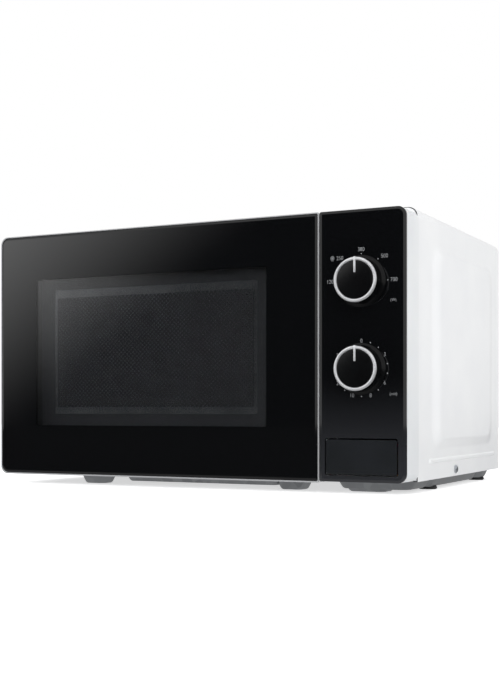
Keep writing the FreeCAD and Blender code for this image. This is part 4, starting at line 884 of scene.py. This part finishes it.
class OVEN_OT_stage(bpy.types.Operator):
    """Set the pale floor, soft studio light and camera"""
    bl_idname = "oven.stage"
    bl_label = "Stage"

    CAMERA_AT = (0.55761, -1.19066, 0.07709)
    CAMERA_TURN = 27.757                                # degrees from square on, the camera to the right
    CAMERA_SHIFT = (0.0714, 0.0854)
    SENSOR = 36.0                                       # millimetres
    KEY_BOX = ((0.9, -2.0, 0.9), (0.15, 0.0, 0.12), 1.6)     # place, aim and side of the softbox
    TOP_BOX = ((0.1, 0.1, 2.0), (0.0, 0.0, 0.1), 1.8)
    FLOOR_LIFT = (0.22, 0.55)                           # floor's own glow: for its light, and as seen
    FLOOR_MIRRORED = (0.42, 0.05)                       # floor in reflections: near the oven, and far
    FLOOR_REACH = (0.30, 0.42)                          # metres from the middle where that changes
    FLAG = (-0.4227, -0.9059, 0.0302)                   # towards the middle of the black flag
    FLAG_EDGE = (0.80, 0.965)                           # cosines off its axis: flag starts, flag is full
    PANEL = (-0.6, 0.28, 0.75)                          # towards the bright panel above it
    PANEL_EDGE = (0.11, 0.30)
    PANEL_GLOW = (0.03, 2.9)
    ROOM_MIRRORED = 0.85
    ROOM_LIGHT = 0.78

    def execute(self, context):
        size = context.scene.oven_stage
        self.floor(size)
        self.world(context.scene)
        self.softbox("Key softbox", *self.KEY_BOX, size.key_power)
        self.softbox("Top softbox", *self.TOP_BOX, size.top_power)
        camera = bpy.data.cameras.new("Camera")
        camera.lens = size.focal
        camera.sensor_width = self.SENSOR
        camera.shift_x, camera.shift_y = self.CAMERA_SHIFT
        holder = bpy.data.objects.new("Camera", camera)
        holder.location = self.CAMERA_AT
        holder.rotation_euler = (math.radians(90), 0, math.radians(self.CAMERA_TURN))
        context.scene.collection.objects.link(holder)
        context.scene.camera = holder
        context.scene.view_settings.view_transform = "Standard"
        context.scene.view_settings.look = "None"
        return {"FINISHED"}

    def softbox(self, name, place, aim, side, power):
        light = bpy.data.lights.new(name, "AREA")
        light.shape = "SQUARE"
        light.size = side
        light.energy = power
        holder = bpy.data.objects.new(name, light)
        holder.location = place
        direction = Vector(aim) - Vector(place)
        holder.rotation_euler = direction.to_track_quat("-Z", "Y").to_euler()
        holder.visible_glossy = False
        bpy.context.scene.collection.objects.link(holder)

    def floor(self, size):
        bpy.ops.object.select_all(action="DESELECT")
        bpy.ops.mesh.primitive_plane_add(size=size.floor_size, location=(0, 0, 0))
        obj = named("floor")
        material, tree, bsdf, coords = blank("Pale matt floor", {"Specular IOR Level": 0.1})
        worn(tree, bsdf, coords, "#F4F4F4", "#F8F8F8", 400, 3, (0.85, 0.95), 0.01)
        ray = add(tree, "LightPath")
        lift_by = add(tree, "MapRange", {"To Min": self.FLOOR_LIFT[0], "To Max": self.FLOOR_LIFT[1]},
                      {"Value": ray.outputs["Is Camera Ray"]})
        lift = add(tree, "Emission", links={"Strength": lift_by.outputs["Result"]})
        away = add(tree, "VectorMath", {"operation": "LENGTH"}, {0: coords})
        glow = add(tree, "MapRange", {"From Min": self.FLOOR_REACH[0], "From Max": self.FLOOR_REACH[1],
                                      "To Min": self.FLOOR_MIRRORED[0], "To Max": self.FLOOR_MIRRORED[1],
                                      "interpolation_type": "SMOOTHSTEP"}, {"Value": away.outputs["Value"]})
        mirror = add(tree, "Emission", {"Color": (1, 1, 1, 1)}, {"Strength": glow.outputs["Result"]})
        both = add(tree, "AddShader", links={0: bsdf.outputs["BSDF"], 1: lift.outputs["Emission"]})
        seen = add(tree, "MixShader", links={0: ray.outputs["Is Glossy Ray"], 1: both.outputs["Shader"],
                                             2: mirror.outputs["Emission"]})
        out = next(node for node in tree.nodes if node.type == "OUTPUT_MATERIAL")
        tree.links.new(seen.outputs["Shader"], out.inputs["Surface"])
        wear(obj, material)

    def world(self, scene):
        """White room with a soft black flag in front on the left, which the glass reflects."""
        world = bpy.data.worlds.new("Studio")
        scene.world = world
        world.use_nodes = True
        tree = world.node_tree
        tree.nodes.clear()
        look = add(tree, "TexCoord").outputs["Generated"]
        flag = add(tree, "VectorMath", {"operation": "DOT_PRODUCT", 1: self.FLAG}, {0: look})
        near = add(tree, "MapRange", {"From Min": self.FLAG_EDGE[0], "From Max": self.FLAG_EDGE[1],
                                      "interpolation_type": "SMOOTHSTEP"}, {"Value": flag.outputs["Value"]})
        panel = add(tree, "VectorMath", {"operation": "DOT_PRODUCT", 1: self.PANEL}, {0: look})
        glow = add(tree, "MapRange", {"From Min": self.PANEL_EDGE[0], "From Max": self.PANEL_EDGE[1],
                                      "To Min": self.PANEL_GLOW[0], "To Max": self.PANEL_GLOW[1],
                                      "interpolation_type": "SMOOTHSTEP"}, {"Value": panel.outputs["Value"]})
        mirrored = add(tree, "Mix", {"data_type": "FLOAT", 2: self.ROOM_MIRRORED},
                       {0: near.outputs["Result"], 3: glow.outputs["Result"]})
        ray = add(tree, "LightPath")
        spread = add(tree, "Mix", {"data_type": "FLOAT", 2: self.ROOM_LIGHT},
                     {0: ray.outputs["Is Glossy Ray"], 3: mirrored.outputs[0]})
        strength = add(tree, "Mix", {"data_type": "FLOAT", 3: 1.0},
                       {0: ray.outputs["Is Camera Ray"], 2: spread.outputs[0]})
        light = add(tree, "Background", {"Color": (1, 1, 1, 1)}, {"Strength": strength.outputs[0]})
        add(tree, "OutputWorld", links={"Surface": light.outputs["Background"]})


class OVEN_PT_panel(bpy.types.Panel):
    """Lists the steps that dress the oven"""
    bl_idname = "OVEN_PT_panel"
    bl_label = "Microwave oven"
    bl_space_type = "VIEW_3D"
    bl_region_type = "UI"
    bl_category = "Oven"

    def draw(self, context):
        for group, operator in (("oven_finish", "oven.finish_frame"), ("oven_screen", "oven.screen"),
                                ("oven_knobs", "oven.knobs"), ("oven_scales", "oven.scales"),
                                ("oven_springs", "oven.springs"), ("oven_stage", "oven.stage")):
            column = self.layout.column()
            settings = getattr(context.scene, group)
            for name in settings.__annotations__:
                column.prop(settings, name)
            column.operator(operator)


CLASSES = (ScreenSettings, KnobSettings, ScaleSettings, SpringSettings, FinishSettings, StageSettings,
           OVEN_OT_finish_frame, OVEN_OT_screen, OVEN_OT_knobs, OVEN_OT_scales, OVEN_OT_springs,
           OVEN_OT_stage, OVEN_PT_panel)
GROUPS = (("oven_screen", ScreenSettings), ("oven_knobs", KnobSettings), ("oven_scales", ScaleSettings),
          ("oven_springs", SpringSettings), ("oven_finish", FinishSettings), ("oven_stage", StageSettings))


def register():
    for cls in CLASSES:
        bpy.utils.register_class(cls)
    for name, group in GROUPS:
        setattr(bpy.types.Scene, name, PointerProperty(type=group))


def unregister():
    for name, _ in GROUPS:
        delattr(bpy.types.Scene, name)
    for cls in reversed(CLASSES):
        bpy.utils.unregister_class(cls)


def main():
    register()
    bpy.ops.oven.finish_frame()
    bpy.ops.oven.screen()
    bpy.ops.oven.knobs()
    bpy.ops.oven.scales()
    bpy.ops.oven.springs()
    bpy.ops.oven.stage()


if __name__ == "__main__":
    main()
